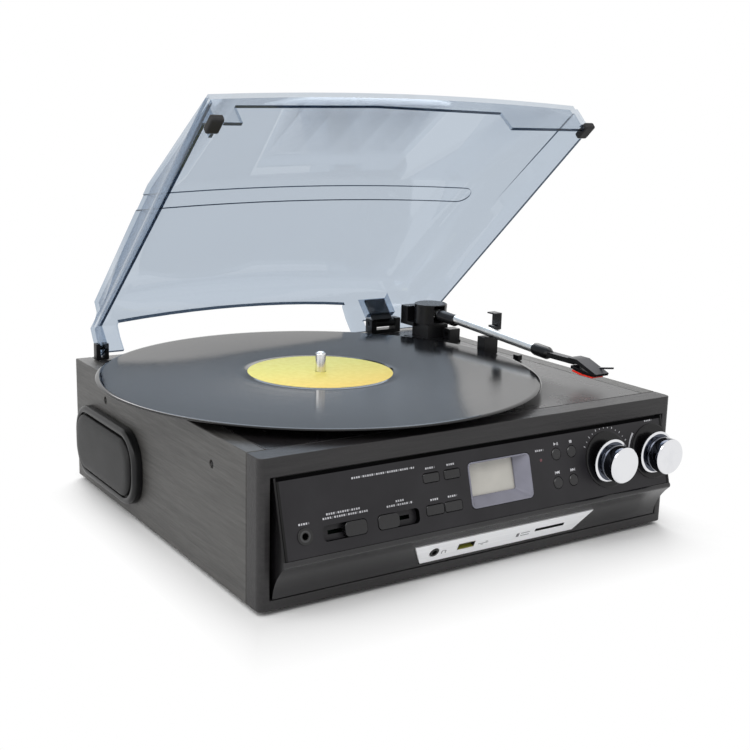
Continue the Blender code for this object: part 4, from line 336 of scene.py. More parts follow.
def woodgrain(name, colour, streak, stretch):
    """Wood grain: streaks and open pores along the grain."""
    made = Finish(name, colour, 0.42, Specular_IOR_Level=0.45)
    streaks = made.noise(made.place(scale=stretch), scale=1, detail=6, roughness=0.62)
    pores = made.noise(made.place(scale=scaled(stretch, 3.2)), scale=1)
    made.set("Base Color", made.mix(streaks.ramp(0.36, 0.68), colour, streak))
    made.rough(0.36, pores, spread=0.2)
    made.bump(streaks + pores.ramp(0.4, 0.6) * 0.7, strength=0.55, distance=0.00016)
    return made.material


def build_finishes(settings):
    """Every finish by the record's slot name, and the few that only the scene has."""
    black = tuple(settings.plastic_colour)
    return {
        "cabinet_woodgrain": woodgrain(
            "cabinet_woodgrain", (0.0340, 0.0330, 0.0312), (0.0615, 0.0596, 0.0565), (420, 22, 420)
        ),
        "front_woodgrain": woodgrain(
            "front_woodgrain", (0.0095, 0.0088, 0.0095), (0.0165, 0.0152, 0.016), (22, 420, 420)
        ),
        "base_fibreboard": woodgrain(
            "base_fibreboard", (0.05, 0.04, 0.032), (0.09, 0.075, 0.06), (90, 90, 90)
        ),
        "deck_black": moulded("deck_black", (0.012, 0.011, 0.0118), 0.27, 700, 0.00003),
        "fascia_black": moulded("fascia_black", (0.0072, 0.0068, 0.0078), 0.24),
        "panel_black": panel_finish(),
        "button_black": moulded("button_black", (0.0045, 0.0042, 0.005), 0.26),
        "knob_chrome": chrome("knob_chrome", (0.775, 0.78, 0.80), (0.66, 0.67, 0.70)),
        # Painted dark reflection on the knobs' side walls, flare rims and necks
        "knob_dark_reflection": chrome("knob_dark_reflection", (0.075, 0.083, 0.105), (0.05, 0.056, 0.07)),
        "bezel_grey": moulded("bezel_grey", (0.155, 0.155, 0.19), 0.25),
        "strip_silver": strip_finish(),
        "jack_black": moulded("jack_black", (0.0035, 0.0035, 0.0035), 0.3),
        "aux_rings": jack_finish(),
        "socket_steel": metal("socket_steel", (0.66, 0.63, 0.55), 0.3),
        "speaker_black": moulded("speaker_black", (0.04, 0.04, 0.04), 0.55),
        "foot_rubber": rubber("foot_rubber", (0.018, 0.018, 0.018)),
        "circuit_board": moulded("circuit_board", (0.004, 0.018, 0.008), 0.4),
        "motor_steel": metal("motor_steel", (0.62, 0.62, 0.61), 0.34),
        "turned_brass": metal("turned_brass", (0.74, 0.56, 0.26), 0.27),
        "belt_rubber": rubber("belt_rubber", (0.014, 0.014, 0.014)),
        "mat_rubber": rubber("mat_rubber", (0.016, 0.016, 0.017)),
        "platter_black": moulded("platter_black", (0.022, 0.022, 0.024), 0.4),
        "spindle_steel": metal("spindle_steel", (0.80, 0.80, 0.80), 0.14),
        "hinge_black": moulded("hinge_black", black, 0.3, Specular_IOR_Level=0.25),
        "buffer_rubber": rubber("buffer_rubber", (0.003, 0.003, 0.0034)),
        "arm_black": moulded("arm_black", black, 0.28, Specular_IOR_Level=0.25),
        "arm_silver": metal("arm_silver", (0.83, 0.83, 0.81), 0.36),
        "weight_metal": metal("weight_metal", (0.3, 0.3, 0.31), 0.4),
        "head_grey": moulded("head_grey", (0.026, 0.0265, 0.031), 0.34, Specular_IOR_Level=0.3),
        "stylus_red": moulded("stylus_red", (0.78, 0.025, 0.012), 0.28),
        "print_white": moulded("print_white", (0.40, 0.40, 0.42), 0.45),
        "print_grey": moulded("print_grey", (0.12, 0.12, 0.13), 0.45),
        "lamp_red": moulded("lamp_red", (0.085, 0.028, 0.034), 0.2),
        "usb_floor": moulded("usb_floor", (0.20, 0.20, 0.030), 0.4),
        # Black of the USB tongue, and painted shade inside the steel shell
        "usb_mouth": moulded("usb_mouth", (0.004, 0.004, 0.004), 0.5),
        # Glossy black of the knobs' bosses, and painted shade on the fascia's cheeks and round the panel
        "ring_and_shade_black": moulded(
            "ring_and_shade_black", (0.0022, 0.0021, 0.0024), 0.22, Specular_IOR_Level=0.3
        ),
        # Near-black painted shade: the walls of the control panel's recesses and the gap over its head
        "gap_shade_black": moulded(
            "gap_shade_black", (0.0009, 0.0009, 0.0010), 0.8, height=0, Specular_IOR_Level=0.02
        ),
        # Painted shade in holes: the screws' crosses, the card slot's walls and the sheet behind it
        "hole_shade_black": moulded("hole_shade_black", (0.003, 0.003, 0.003), 0.6),
        "screw_black": metal("screw_black", (0.05, 0.05, 0.052), 0.34),
        "vinyl": vinyl_finish(),
        "label_paper": label_finish(settings),
        "smoked_clear": smoked_finish("smoked_clear", settings.lid_tint),
        # Tints of the same clear plastic: painted light on the front wall, painted shade on the left wall and the
        # cut edges
        "smoked_front_lit": smoked_finish("smoked_front_lit", settings.lid_front_light_tint),
        "smoked_wall_shaded": smoked_finish("smoked_wall_shaded", settings.lid_wall_shade_tint),
        "smoked_edge_shaded": smoked_finish("smoked_edge_shaded", settings.lid_edge_shade_tint, 0.1),
        "display_screen": screen_finish(settings),
        "grille_black": grille_finish(),
    }


def panel_finish():
    """Satin panel whose side edges are painted near-black as shade in the gap of the front frame."""
    colour = (0.0095, 0.0086, 0.0105)
    made = Finish("panel_black", colour, 0.36, Specular_IOR_Level=0.3)
    low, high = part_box("control_panel")
    across, _, _ = made.axes(made.place((low + high) / 2))
    # Painted shade: the side strips of the panel are near-black, as if in the gap's shadow
    beside = across.size() > (high.x - low.x) / 2 - PANEL_GAP_SHADE
    patches = made.noise(made.place(), scale=28, detail=4)
    satin = made.mix(patches.ramp(0.35, 0.75), colour, (0.0170, 0.0160, 0.0185))
    made.set("Base Color", made.mix(beside, satin, (0.001, 0.001, 0.001)))
    made.rough(0.36 + beside * 0.4, patches - 0.5, spread=0.12)
    made.bump(made.noise(made.place(), scale=900, detail=2), strength=0.4, distance=0.00002)
    return made.material


def strip_finish():
    """Silver lacquer over fine lengthwise brushing."""
    made = Finish("strip_silver", (0.91, 0.92, 0.94), 0.36, metallic=0.35)
    marks = made.noise(made.place(scale=(30, 700, 700)), scale=1, detail=4, roughness=0.6)
    made.set("Base Color", made.mix(marks.ramp(0.3, 0.7), (0.87, 0.88, 0.90), (0.95, 0.955, 0.97)))
    made.rough(0.34, marks - 0.5, spread=0.14)
    made.bump(marks, strength=0.3, distance=0.000004)
    return made.material


def jack_finish():
    """Black rim and bore of the aux jack, with a grey ring between them."""
    made = Finish("aux_rings", (0.0035, 0.0035, 0.0035), 0.3)
    low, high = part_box("aux_jack")
    plane = front_plane("control_panel")
    spot = plane @ Vector(((low.x + high.x) / 2 - CABINET_MID, up_plane(plane, AUX_HEIGHT), 0))
    across, up = made.rise(plane, spot)
    reach = (across * across + up * up).root()
    ring = (reach > AUX_RING[0]) * (reach < AUX_RING[1])
    worn = made.noise(made.place(), scale=400)
    grey = made.mix(worn, (0.028, 0.028, 0.030), (0.040, 0.040, 0.042))
    made.set("Base Color", made.mix(ring, (0.0025, 0.0025, 0.0025), grey))
    made.rough(0.24, worn, spread=0.14)
    return made.material


def vinyl_finish():
    """Pressed grooves round the spindle, with quiet bands between the tracks."""
    made = Finish("vinyl", (0.0060, 0.0062, 0.0072), 0.16, Specular_IOR_Level=0.35)
    radius = made.radius(SPINDLE)
    grooved = (radius > GROOVED[0]) * (radius < GROOVED[1])
    for band in QUIET_BANDS:
        grooved = grooved * ((radius - band).size() > QUIET_HALF)
    swell = made.noise(made.place(SPINDLE), scale=40)
    waves = radius.wave(GROOVE_PITCH)
    deep = radius.wave(SWELL_PITCH)
    height = grooved * (waves * 0.5 + deep * 0.25 + 0.5)
    made.rough(0.07 + grooved * 0.03, swell, spread=0.04)
    made.set("Base Color", made.mix(grooved * 0.6, (0.002, 0.0021, 0.0025), (0.0045, 0.0048, 0.006)))
    made.bump(height, strength=0.35, distance=0.000012)
    return made.material


def label_finish(settings):
    """Plain coloured paper, warmer at the front, with a pressed ledge."""
    made = Finish("label_paper", tuple(settings.label_colour), 0.55)
    _, along, _ = made.axes(made.place(SPINDLE))
    radius = made.radius(SPINDLE)
    fibres = made.noise(made.place(), scale=260, detail=5)
    faded = made.noise(made.place(), scale=22, detail=2)
    warm = tuple(settings.label_warm_colour)
    paper = made.mix((along + faded * 0.03).ramp(-0.035, 0.030), warm, settings.label_colour)
    made.set("Base Color", made.mix(fibres.ramp(0.3, 0.75) * 0.25, paper, (0.55, 0.42, 0.06)))
    made.rough(0.42, fibres, spread=0.25)
    ledge = (radius - LEDGE_R).size() < LEDGE_HALF
    made.bump(fibres * 0.2 + ledge, strength=0.5, distance=0.00006)
    return made.material


def smoked_finish(name, tint, roughness=0.03):
    """Clear tinted plastic: what is behind shows through, and the surface is polished."""
    made = Finish(name, (0.80, 0.84, 0.89), roughness, metallic=1.0)
    haze = made.noise(made.place(), scale=14, detail=4)
    made.rough(roughness, haze, spread=0.03)
    clear = made.node("ShaderNodeBsdfTransparent", values={"Color": tuple(tint)})
    edge_on = made.node("ShaderNodeLayerWeight", values={"Blend": 0.5}, output="Facing")
    share = edge_on**5 * SHINE_EDGE_ON + haze * SHINE_HAZE + SHINE
    made.surface(share, clear, made.own_shader())
    return made.material


def screen_finish(settings):
    """Liquid-crystal screen: pale, a little darker in patches, with faint upright lines."""
    pale = tuple(settings.screen_colour)
    made = Finish("display_screen", pale, 0.18)
    across, _, _ = made.axes(made.place())
    cells = made.noise(made.place(), scale=60, detail=2)
    made.set("Base Color", made.mix(cells.ramp(0.35, 0.7), pale, scaled(pale, 0.88)))
    made.bump(across.wave(CELL_PITCH), strength=0.1, distance=0.000004)
    made.rough(0.16, cells, spread=0.08)
    return made.material


def grille_finish():
    """Glossy rim, a groove inside it painted black as shade, and cloth over the crowned middle."""
    made = Finish("grille_black", (0.012, 0.0125, 0.014), 0.3, Specular_IOR_Level=0.28)
    low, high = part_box("left_grille")
    middle = (low + high) / 2
    _, along, up = made.axes(made.place(middle))
    straight_long = (high.y - low.y) / 2 - GRILLE_ROUND
    straight_high = (high.z - low.z) / 2 - GRILLE_ROUND
    past_long = (along.size() - straight_long).or_more(0)
    past_high = (up.size() - straight_high).or_more(0)
    squares = past_long * past_long + past_high * past_high
    inset = GRILLE_ROUND - squares.root()
    groove = (inset - GRILLE_RIM).size() < GRILLE_GROOVE_HALF
    weave = (along.wave(CLOTH_PITCH) * up.wave(CLOTH_PITCH)).ramp(-0.2, 0.6)
    within = inset > GRILLE_RIM
    cloth = within * weave
    dust = made.noise(made.place(), scale=60, detail=4)
    rim = made.mix(dust.ramp(0.4, 0.7), (0.0060, 0.0062, 0.0068), (0.0095, 0.0097, 0.0102))
    woven = made.mix(cloth * 0.6, rim, (0.0085, 0.0088, 0.0085))
    # Painted shade: the groove is near-black
    made.set("Base Color", made.mix(groove, woven, (0.0012, 0.0012, 0.0012)))
    made.rough(0.24 + within * 0.2, dust, spread=0.12)
    made.bump(cloth * 0.4 - groove, strength=0.5, distance=0.0002)
    return made.material


def add_piece(name, mesh, body, slot, *finishes, replaces=()):
    """Puts a mesh that is already in place in the scene, on its body."""
    obj = bpy.data.objects.new(name, mesh)
    bpy.context.scene.collection.objects.link(obj)
    for name_of in finishes or (slot,):
        mesh.materials.append(FINISHES[name_of])
    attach(obj, body)
    if replaces:
        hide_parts(*replaces)
    return obj


def mesh_from(bm, name, angle=SHARP):
    """A smooth mesh that stays sharp at its edges."""
    mesh = bpy.data.meshes.new(name)
    bm.to_mesh(mesh)
    bm.free()
    mesh.shade_smooth()
    mesh.set_sharp_from_angle(angle=angle)
    return mesh


def body_of(node):
    """The body that carries a node."""
    return next(
        name for name, nodes in frame["record"]["behaviour"]["bodies"].items() if node in nodes
    )


def slot_of(node):
    """The material slot of a node."""
    return next(
        entry["material_slot"] for entry in frame["record"]["subparts"] if entry["node"] == node
    )


def copied(node):
    """The welded form of a CAD node, its flat faces whole again."""
    bm = bmesh.new()
    bm.from_mesh(frame["nodes"][node].data)
    bmesh.ops.remove_doubles(bm, verts=bm.verts, dist=WELD)
    bmesh.ops.dissolve_limit(
        bm,
        angle_limit=FLAT,
        verts=bm.verts,
        edges=bm.edges,
        delimit={"NORMAL"},
    )
    return bm


def soften(bm, width):
    """Rounds every sharp edge."""
    sharp = [
        edge
        for edge in bm.edges
        if len(edge.link_faces) == 2 and edge.calc_face_angle(0) > BEVELLED_FROM
    ]
    bmesh.ops.bevel(
        bm,
        geom=sharp,
        offset=width,
        affect="EDGES",
        segments=2,
        profile=0.5,
        material=-1,
        clamp_overlap=True,
    )
    bmesh.ops.remove_doubles(bm, verts=bm.verts, dist=WELD / 4)


def softened(node, width, finishes=(), chooser=None):
    """A copy of a CAD node with rounded edges. The chooser gives each face its finish."""
    bm = copied(node)
    soften(bm, width)
    if chooser:
        for face in bm.faces:
            face.material_index = chooser(face)
    made = node + "_finished"
    mesh = mesh_from(bm, made, SHARP_BEVELLED)
    obj = add_piece(made, mesh, body_of(node), slot_of(node), *finishes, replaces=(node,))
    even = obj.modifiers.new("even_shading", "WEIGHTED_NORMAL")
    even.keep_sharp = True


def keep(node):
    """A CAD node that stays, with its finish."""
    obj = frame["nodes"][node]
    obj.data.materials.clear()
    obj.data.materials.append(FINISHES[slot_of(node)])


def spun(profile, centre, axis, steps=96):
    """A lathe profile of radius and height, turned round an axis through centre."""
    axis = Vector(axis).normalized()
    side = axis.orthogonal().normalized()
    bm = bmesh.new()
    verts = [bm.verts.new(Vector(centre) + side * r + axis * h) for r, h in profile]
    edges = [bm.edges.new(pair) for pair in zip(verts, verts[1:])]
    bmesh.ops.spin(
        bm,
        geom=[*verts, *edges],
        cent=centre,
        axis=axis,
        angle=2 * math.pi,
        steps=steps,
        use_merge=True,
    )
    bmesh.ops.remove_doubles(bm, verts=bm.verts, dist=WELD / 4)
    bmesh.ops.recalc_face_normals(bm, faces=bm.faces)
    return bm


def merged(*parts):
    """Several bmeshes in one."""
    whole = bmesh.new()
    for part in parts:
        mesh = bpy.data.meshes.new("part")
        part.to_mesh(mesh)
        part.free()
        whole.from_mesh(mesh)
        bpy.data.meshes.remove(mesh)
    return whole


def slab(outline, low, high, place):
    """A flat outline made thick along its own Z and moved into place."""
    bm = bmesh.new()
    face = bm.faces.new([bm.verts.new((x, y, low)) for x, y in outline])
    raised = bmesh.ops.extrude_face_region(bm, geom=[face])["geom"]
    verts = [item for item in raised if isinstance(item, bmesh.types.BMVert)]
    bmesh.ops.translate(bm, vec=(0, 0, high - low), verts=verts)
    bmesh.ops.recalc_face_normals(bm, faces=bm.faces)
    bmesh.ops.transform(bm, matrix=place, verts=bm.verts)
    return bm


@functools.cache
def front_plane(node):
    """The plane of a node's largest front face: X right from the middle, Y up, Z out."""
    bm = copied(node)
    facing = [face for face in bm.faces if face.normal.y < -ROUGHLY_FACING]
    widest = max(facing, key=bmesh.types.BMFace.calc_area)
    out = widest.normal.copy()
    spot = widest.calc_center_median()
    bm.free()
    right = Vector((1, 0, 0))
    turn = Matrix((right, out.cross(right), out)).transposed().to_4x4()
    return Matrix.Translation((CABINET_MID, spot.y, spot.z)) @ turn


def up_plane(plane, height):
    """Place up a front plane, from a height above the cabinet's underside."""
    return (CABINET_FOOT + height - plane.translation.z) / plane.col[1].z


def oblong(across, up, width, tall):
    """An outline with square corners round a place."""
    return [
        (across - width / 2, up - tall / 2),
        (across + width / 2, up - tall / 2),
        (across + width / 2, up + tall / 2),
        (across - width / 2, up + tall / 2),
    ]


def triangle(across, up, size, turn):
    """An even triangle that points along its turn."""
    corners = [turn + corner * 2 * math.pi / 3 for corner in range(3)]
    return [(across + size * math.cos(at), up + size * math.sin(at)) for at in corners]


def sector(across, up, inner, outer, start, end, steps=24):
    """A sector of a ring that is thin at its start and as wide as the ring at its end."""
    turns = [start + (end - start) * step / steps for step in range(steps + 1)]
    rim = [(outer, turn) for turn in turns]
    narrow = [
        (outer - (outer - inner) * (step + 1) / (steps + 1), turn)
        for step, turn in enumerate(turns)
    ]
    ring = rim + narrow[::-1]
    return [(across + r * math.cos(turn), up + r * math.sin(turn)) for r, turn in ring]


# How many times sharper than a moulding's edge the edges of smaller pieces are
SMALL = 2
SMALLER = 3
SMALLEST = 8


class RecordPlayerSizes(bpy.types.PropertyGroup):
    """Sizes of the finer pieces."""

    cabinet_edge: bpy.props.FloatProperty(
        name="Cabinet edge", description="Rounding of the boards", default=0.0006, unit="LENGTH"
    )
    moulded_edge: bpy.props.FloatProperty(
        name="Moulded edge", description="Rounding of mouldings", default=0.0004, unit="LENGTH"
    )
    label_radius: bpy.props.FloatProperty(
        name="Label radius", description="Paper label", default=0.050, unit="LENGTH"
    )
    camera_lens: bpy.props.FloatProperty(
        name="Lens", description="Focal length of the camera", default=56.16, unit="CAMERA"
    )


class RecordPlayerColours(bpy.types.PropertyGroup):
    """Colours that a user would change."""

    plastic_colour: bpy.props.FloatVectorProperty(
        name="Plastic", description="Arm and hinges", default=(0.004, 0.004, 0.0045), subtype="COLOR"
    )
    label_colour: bpy.props.FloatVectorProperty(
        name="Label", description="Record label", default=(0.80, 0.74, 0.16), subtype="COLOR"
    )
    label_warm_colour: bpy.props.FloatVectorProperty(
        name="Warm label", description="Label front", default=(0.86, 0.60, 0.10), subtype="COLOR"
    )
    lid_tint: bpy.props.FloatVectorProperty(
        name="Lid tint", description="Clear lid", default=(0.715, 0.757, 0.806), subtype="COLOR"
    )
    # Painted light on the lid's front wall, painted shade on its left wall and cut edges
    lid_front_light_tint: bpy.props.FloatVectorProperty(
        name="Lid front tint", description="Front wall", default=(0.88, 0.895, 0.91), subtype="COLOR"
    )
    lid_wall_shade_tint: bpy.props.FloatVectorProperty(
        name="Lid wall tint", description="Left wall", default=(0.60, 0.655, 0.72), subtype="COLOR"
    )
    lid_edge_shade_tint: bpy.props.FloatVectorProperty(
        name="Lid edge tint", description="Cut edges", default=(0.06, 0.085, 0.12), subtype="COLOR"
    )
    screen_colour: bpy.props.FloatVectorProperty(
        name="Screen", description="Display", default=(0.49, 0.475, 0.435), subtype="COLOR"
    )


FINISHES = {}


class RECORDPLAYER_OT_finishes(bpy.types.Operator):
    """Make every finish"""

    bl_idname = "record_player.finishes"
    bl_label = "Finishes"

    def execute(self, context):
        FINISHES.update(build_finishes(context.scene.record_player_colours))
        return {"FINISHED"}


# Inset from the grille's outline and height off the wall
GRILLE_PROFILE = (
    (0.0002, 0),
    (0, 0.0003),
    (0, 0.0040),
    (0.0003, 0.0052),
    (0.0010, 0.0060),
    (0.0020, 0.0064),
    (0.0038, 0.0065),
    (0.0044, 0.0062),
    (0.0047, 0.0055),
    (0.0048, 0.0044),
    (0.0060, 0.0044),
    (0.0061, 0.0060),
    (0.0064, 0.0070),
    (0.0074, 0.0078),
    (0.0095, 0.0083),
    (0.0130, 0.0085),
)


def rounded_ring(wide, tall, inset, height, steps=16):
    """Points of a rounded oblong, drawn in by an inset."""
    radius = GRILLE_ROUND - inset
    reach = (wide / 2 - GRILLE_ROUND, tall / 2 - GRILLE_ROUND)
    ring = []
    for corner, (across, up) in enumerate(((1, 1), (-1, 1), (-1, -1), (1, -1))):
        for step in range(steps + 1):
            turn = (corner + step / steps) * math.pi / 2
            x = across * reach[0] + radius * math.cos(turn)
            y = up * reach[1] + radius * math.sin(turn)
            ring.append((x, y, height))
    return ring


def lofted(rings):
    """A closed skin through rings of as many points each."""
    bm = bmesh.new()
    loops = []
    for ring in rings:
        verts = [bm.verts.new(point) for point in ring]
        loops.append([bm.edges.new(pair) for pair in zip(verts, verts[1:] + verts[:1])])
    for lower, upper in zip(loops, loops[1:]):
        bmesh.ops.bridge_loops(bm, edges=lower + upper)
    for end in (loops[0], loops[-1]):
        bmesh.ops.contextual_create(bm, geom=end)
    bmesh.ops.recalc_face_normals(bm, faces=bm.faces)
    return bm


# Radius and height of a sunk screw's head, from the mouth of its hole
SCREW_PROFILE = (
    (0, -0.0006),
    (0.0012, -0.0007),
    (0.0020, -0.0010),
    (0.0024, -0.0015),
    (0.0024, -0.0024),
    (0, -0.0024),
)
CROSS_REACH = 0.0013
CROSS_HALF = 0.0003
CROSS_FLOOR = -0.0010
CROSS_TOP = -0.0005

# Screws of the side panels: reach either way along the deck, height, and how far their
# middle is in front of the deck's
SCREW_REACH = 0.0855
SCREW_HEIGHT = 0.070
SCREW_FORWARD = 0.0077


def cross(reach, half):
    """The outline of a cross, a quarter at a time."""
    quarter = [(half, reach), (-half, reach), (-half, half)]
    outline = []
    for _ in range(4):
        outline += quarter
        quarter = [(-y, x) for x, y in quarter]
    return outline


def screw(centre, out):
    """A domed head below the mouth of its hole, with a cross in it painted black as shade."""
    head = spun(SCREW_PROFILE, centre, out, steps=24)
    place = Matrix.Translation(centre) @ out.to_track_quat("Z", "Y").to_matrix().to_4x4()
    recess = slab(cross(CROSS_REACH, CROSS_HALF), CROSS_FLOOR, CROSS_TOP, place)
    for face in recess.faces:
        face.material_index = 1
    return merged(head, recess)


class RECORDPLAYER_OT_cabinet(bpy.types.Operator):
    """Boards, front frame, feet, and the sides with grilles and screws"""

    bl_idname = "record_player.cabinet"
    bl_label = "Cabinet"

    def execute(self, context):
        sizes = context.scene.record_player_sizes
        for node in ("left_side_panel", "right_side_panel"):
            softened(node, sizes.cabinet_edge)
        softened("front_frame", sizes.cabinet_edge, ("front_woodgrain",))
        softened("deck_panel", sizes.moulded_edge)
        for node in ("base_board", "back_panel"):
            keep(node)
        for node in ("front_left_foot", "front_right_foot", "rear_left_foot", "rear_right_foot"):
            keep(node)
        for node in ("left_speaker", "right_speaker"):
            keep(node)
        for node, side in (("left_grille", -1), ("right_grille", 1)):
            self.grille(node, side)
        self.screws()
        return {"FINISHED"}

    def grille(self, node, side):
        """Rounded rim, a groove inside it and the domed pad of cloth."""
        low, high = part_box(node)
        wall = high.x if side < 0 else low.x
        centre = Vector((wall, (low.y + high.y) / 2, (low.z + high.z) / 2))
        place = Matrix.Translation(centre) @ Matrix.Rotation(side * math.pi / 2, 4, "Y")
        rings = [
            rounded_ring(high.z - low.z, high.y - low.y, inset, height)
            for inset, height in GRILLE_PROFILE
        ]
        bm = lofted(rings)
        bmesh.ops.transform(bm, matrix=place, verts=bm.verts)
        made = node + "_moulded"
        mesh = mesh_from(bm, made, SHARP_GRILLE)
        add_piece(made, mesh, "cabinet", "grille_black", replaces=(node,))

    def screws(self):
        """Sunk screws with cross recesses, two in each side."""
        low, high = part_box("deck_panel")
        middle = (low.y + high.y) / 2 - SCREW_FORWARD
        height = CABINET_FOOT + SCREW_HEIGHT
        walls = (("left", CABINET_LEFT, -1), ("right", CABINET_RIGHT, 1))
        for name, wall, side in walls:
            out = Vector((side, 0, 0))
            heads = [
                screw(Vector((wall, middle + reach, height)), out)
                for reach in (-SCREW_REACH, SCREW_REACH)
            ]
            mesh = mesh_from(merged(*heads), name + "_side_screws")
            finishes = ("screw_black", "hole_shade_black")
            add_piece(name + "_side_screws", mesh, "cabinet", "cabinet_woodgrain", *finishes)


# Height of the sockets' row in the port strip, and the parts of the strip that have
# a finish of their own: half sizes of the USB mouth, its lower wall, and the card slot
STRIP_ROW = 0.01523
# The USB mouth: black tongue, with painted shade inside the shell
USB_MOUTH_HALF = 0.0060
USB_MOUTH_UP = 0.0021
USB_FLOOR_DOWN = 0.0015
# The card slot: its walls and the dark sheet behind it carry painted shade
CARD_X = 0.050
CARD_REACH = 0.0125
CARD_UP = 0.0014
CARD_DEEP = 0.0012
CARD_THICK = 0.0003

# Control panel: radius of the knobs' bosses, depth from which a face is in a recess,
# clearance over its foot, and the height of the black strip painted as shade in the gap over its head
BOSS_R = 0.0188
SUNK = 0.0004
PANEL_FOOT_CLEAR = 0.001
PANEL_TOP_SHADE = 0.0020

# Printed marks in metres, with the dials' angles in degrees, and the power lamp's lens by
# radius and height
PRINT_LIFT = 0.00003
MARK_TALL = 0.0011
ARROW_SIZE = 0.0012
TICK_WIDE = 0.0005
SCALE_IN = 0.0202
SCALE_OUT = 0.0216
SCALE_TICKS = 13
SCALE_START = 150
SCALE_SWEEP = 120
VOLUME_ARC = (205, 138)
LAMP_X = 0.0391
LAMP_HEIGHT = 0.0612
LAMP_LENS = ((0, 0.0004), (0.0006, 0.00034), (0.0010, 0.0001), (0.0011, -0.0002), (0, -0.0002))
SIGN_PITCH = 0.0015

# Length of each mark in a row, as shares of the marks' pitch
SIGN_SHARES = (0.72, 0.50, 0.68, 0.60, 0.12, 0.74, 0.45, 0.66, 0.55, 0.70, 0.15)

# Across, height and width of each printed row
PRINTED_ROWS = (
    (-0.0775, 0.0700, 0.0440),
    (-0.1055, 0.0512, 0.0310),
    (-0.1070, 0.0533, 0.0230),
    (-0.0690, 0.0512, 0.0190),
    (-0.0690, 0.0533, 0.0060),
    (-0.1322, 0.0505, 0.0085),
    (-0.0452, 0.0683, 0.0075),
    (-0.0300, 0.0683, 0.0070),
    (-0.0450, 0.0503, 0.0060),
    (-0.0315, 0.0503, 0.0075),
    (0.0391, 0.0672, 0.0080),
    (0.1355, 0.0743, 0.0080),
)

# Across, height, width and height of each bar, then place and turn of each arrow
PRINTED_BARS = (
    (0.0534, 0.0695, 0.0004, 0.0018),
    (0.0542, 0.0695, 0.0004, 0.0018),
    (0.0649, 0.0695, 0.0020, 0.0018),
    (0.0494, 0.0522, 0.0004, 0.0018),
    (0.0657, 0.0522, 0.0004, 0.0018),
)
PRINTED_ARROWS = (
    (0.0514, 0.0695, 0),
    (0.0508, 0.0522, math.pi),
    (0.0523, 0.0522, math.pi),
    (0.0627, 0.0522, 0),
    (0.0642, 0.0522, 0),
)

# Across, place up the strip, width and height of the marks beside the sockets
STRIP_MARKS = (
    (-0.0335, 0.0010, 0.0030, 0.0004),
    (-0.0349, -0.0002, 0.0006, 0.0022),
    (-0.0321, -0.0002, 0.0006, 0.0022),
    (-0.0035, 0.0000, 0.0080, 0.0004),
    (-0.0010, 0.0010, 0.0020, 0.0004),
    (-0.0040, -0.0010, 0.0020, 0.0004),
    (0.0240, 0.0000, 0.0022, 0.0030),
    (0.0300, 0.0010, 0.0070, 0.0005),
    (0.0300, -0.0010, 0.0070, 0.0005),
)


def add_print(name, outlines, plane, slot, finish):
    """Puts thin marks on a front plane, as one piece."""
    parts = [slab(outline, PRINT_LIFT, 2 * PRINT_LIFT, plane) for outline in outlines]
    add_piece(name, mesh_from(merged(*parts), name), "cabinet", slot, finish)


def panel_part(face):
    """The finish of a face of the control panel: its front, a knob's boss, or a recess's wall, which is painted
    black as shade.
    """
    plane = front_plane("control_panel")
    centre = face.calc_center_median()
    if (plane.inverted() @ centre).z < -SUNK:
        return 0 if face.normal.dot(plane.col[2].xyz) > FACING else 2
    for joint in ("tuning_turn", "volume_turn"):
        axis = JOINTS[joint]
        across = centre.x - axis.x
        rise = (centre.z - axis.z) / math.cos(LEAN)
        if math.hypot(across, rise) < BOSS_R:
            return 1
    return 0


def off_strip_row(face):
    """Place of a face's middle on the port strip, from the row of its sockets."""
    plane = front_plane("port_strip")
    return plane.inverted() @ face.calc_center_median() - Vector((0, up_plane(plane, STRIP_ROW), 0))


def in_usb_mouth(face):
    """The finish of a face of the USB socket: steel, its black tongue with painted shade inside the shell, or its
    shell's floor.
    """
    low, high = box_of("usb_socket")
    across = abs(face.calc_center_median().x - (low.x + high.x) / 2)
    up = off_strip_row(face).y
    if across > USB_MOUTH_HALF or abs(up) > USB_MOUTH_UP:
        return 0
    return 2 if up < -USB_FLOOR_DOWN else 1


def in_card_slot(face):
    """Whether a face of the port strip is a wall of the card slot, painted black as shade."""
    spot = off_strip_row(face)
    return int(abs(spot.x - CARD_X) < CARD_REACH and abs(spot.y) < CARD_UP and spot.z < -WELD)


def in_panel_shade(face):
    """Whether a face of the fascia is a cheek or in the gap round the panel, which are painted black as shade."""
    foot = box_of("control_panel")[0].z
    cheek = abs(face.normal.x) > FACING
    return int(cheek or face.calc_center_median().z > foot + PANEL_FOOT_CLEAR)


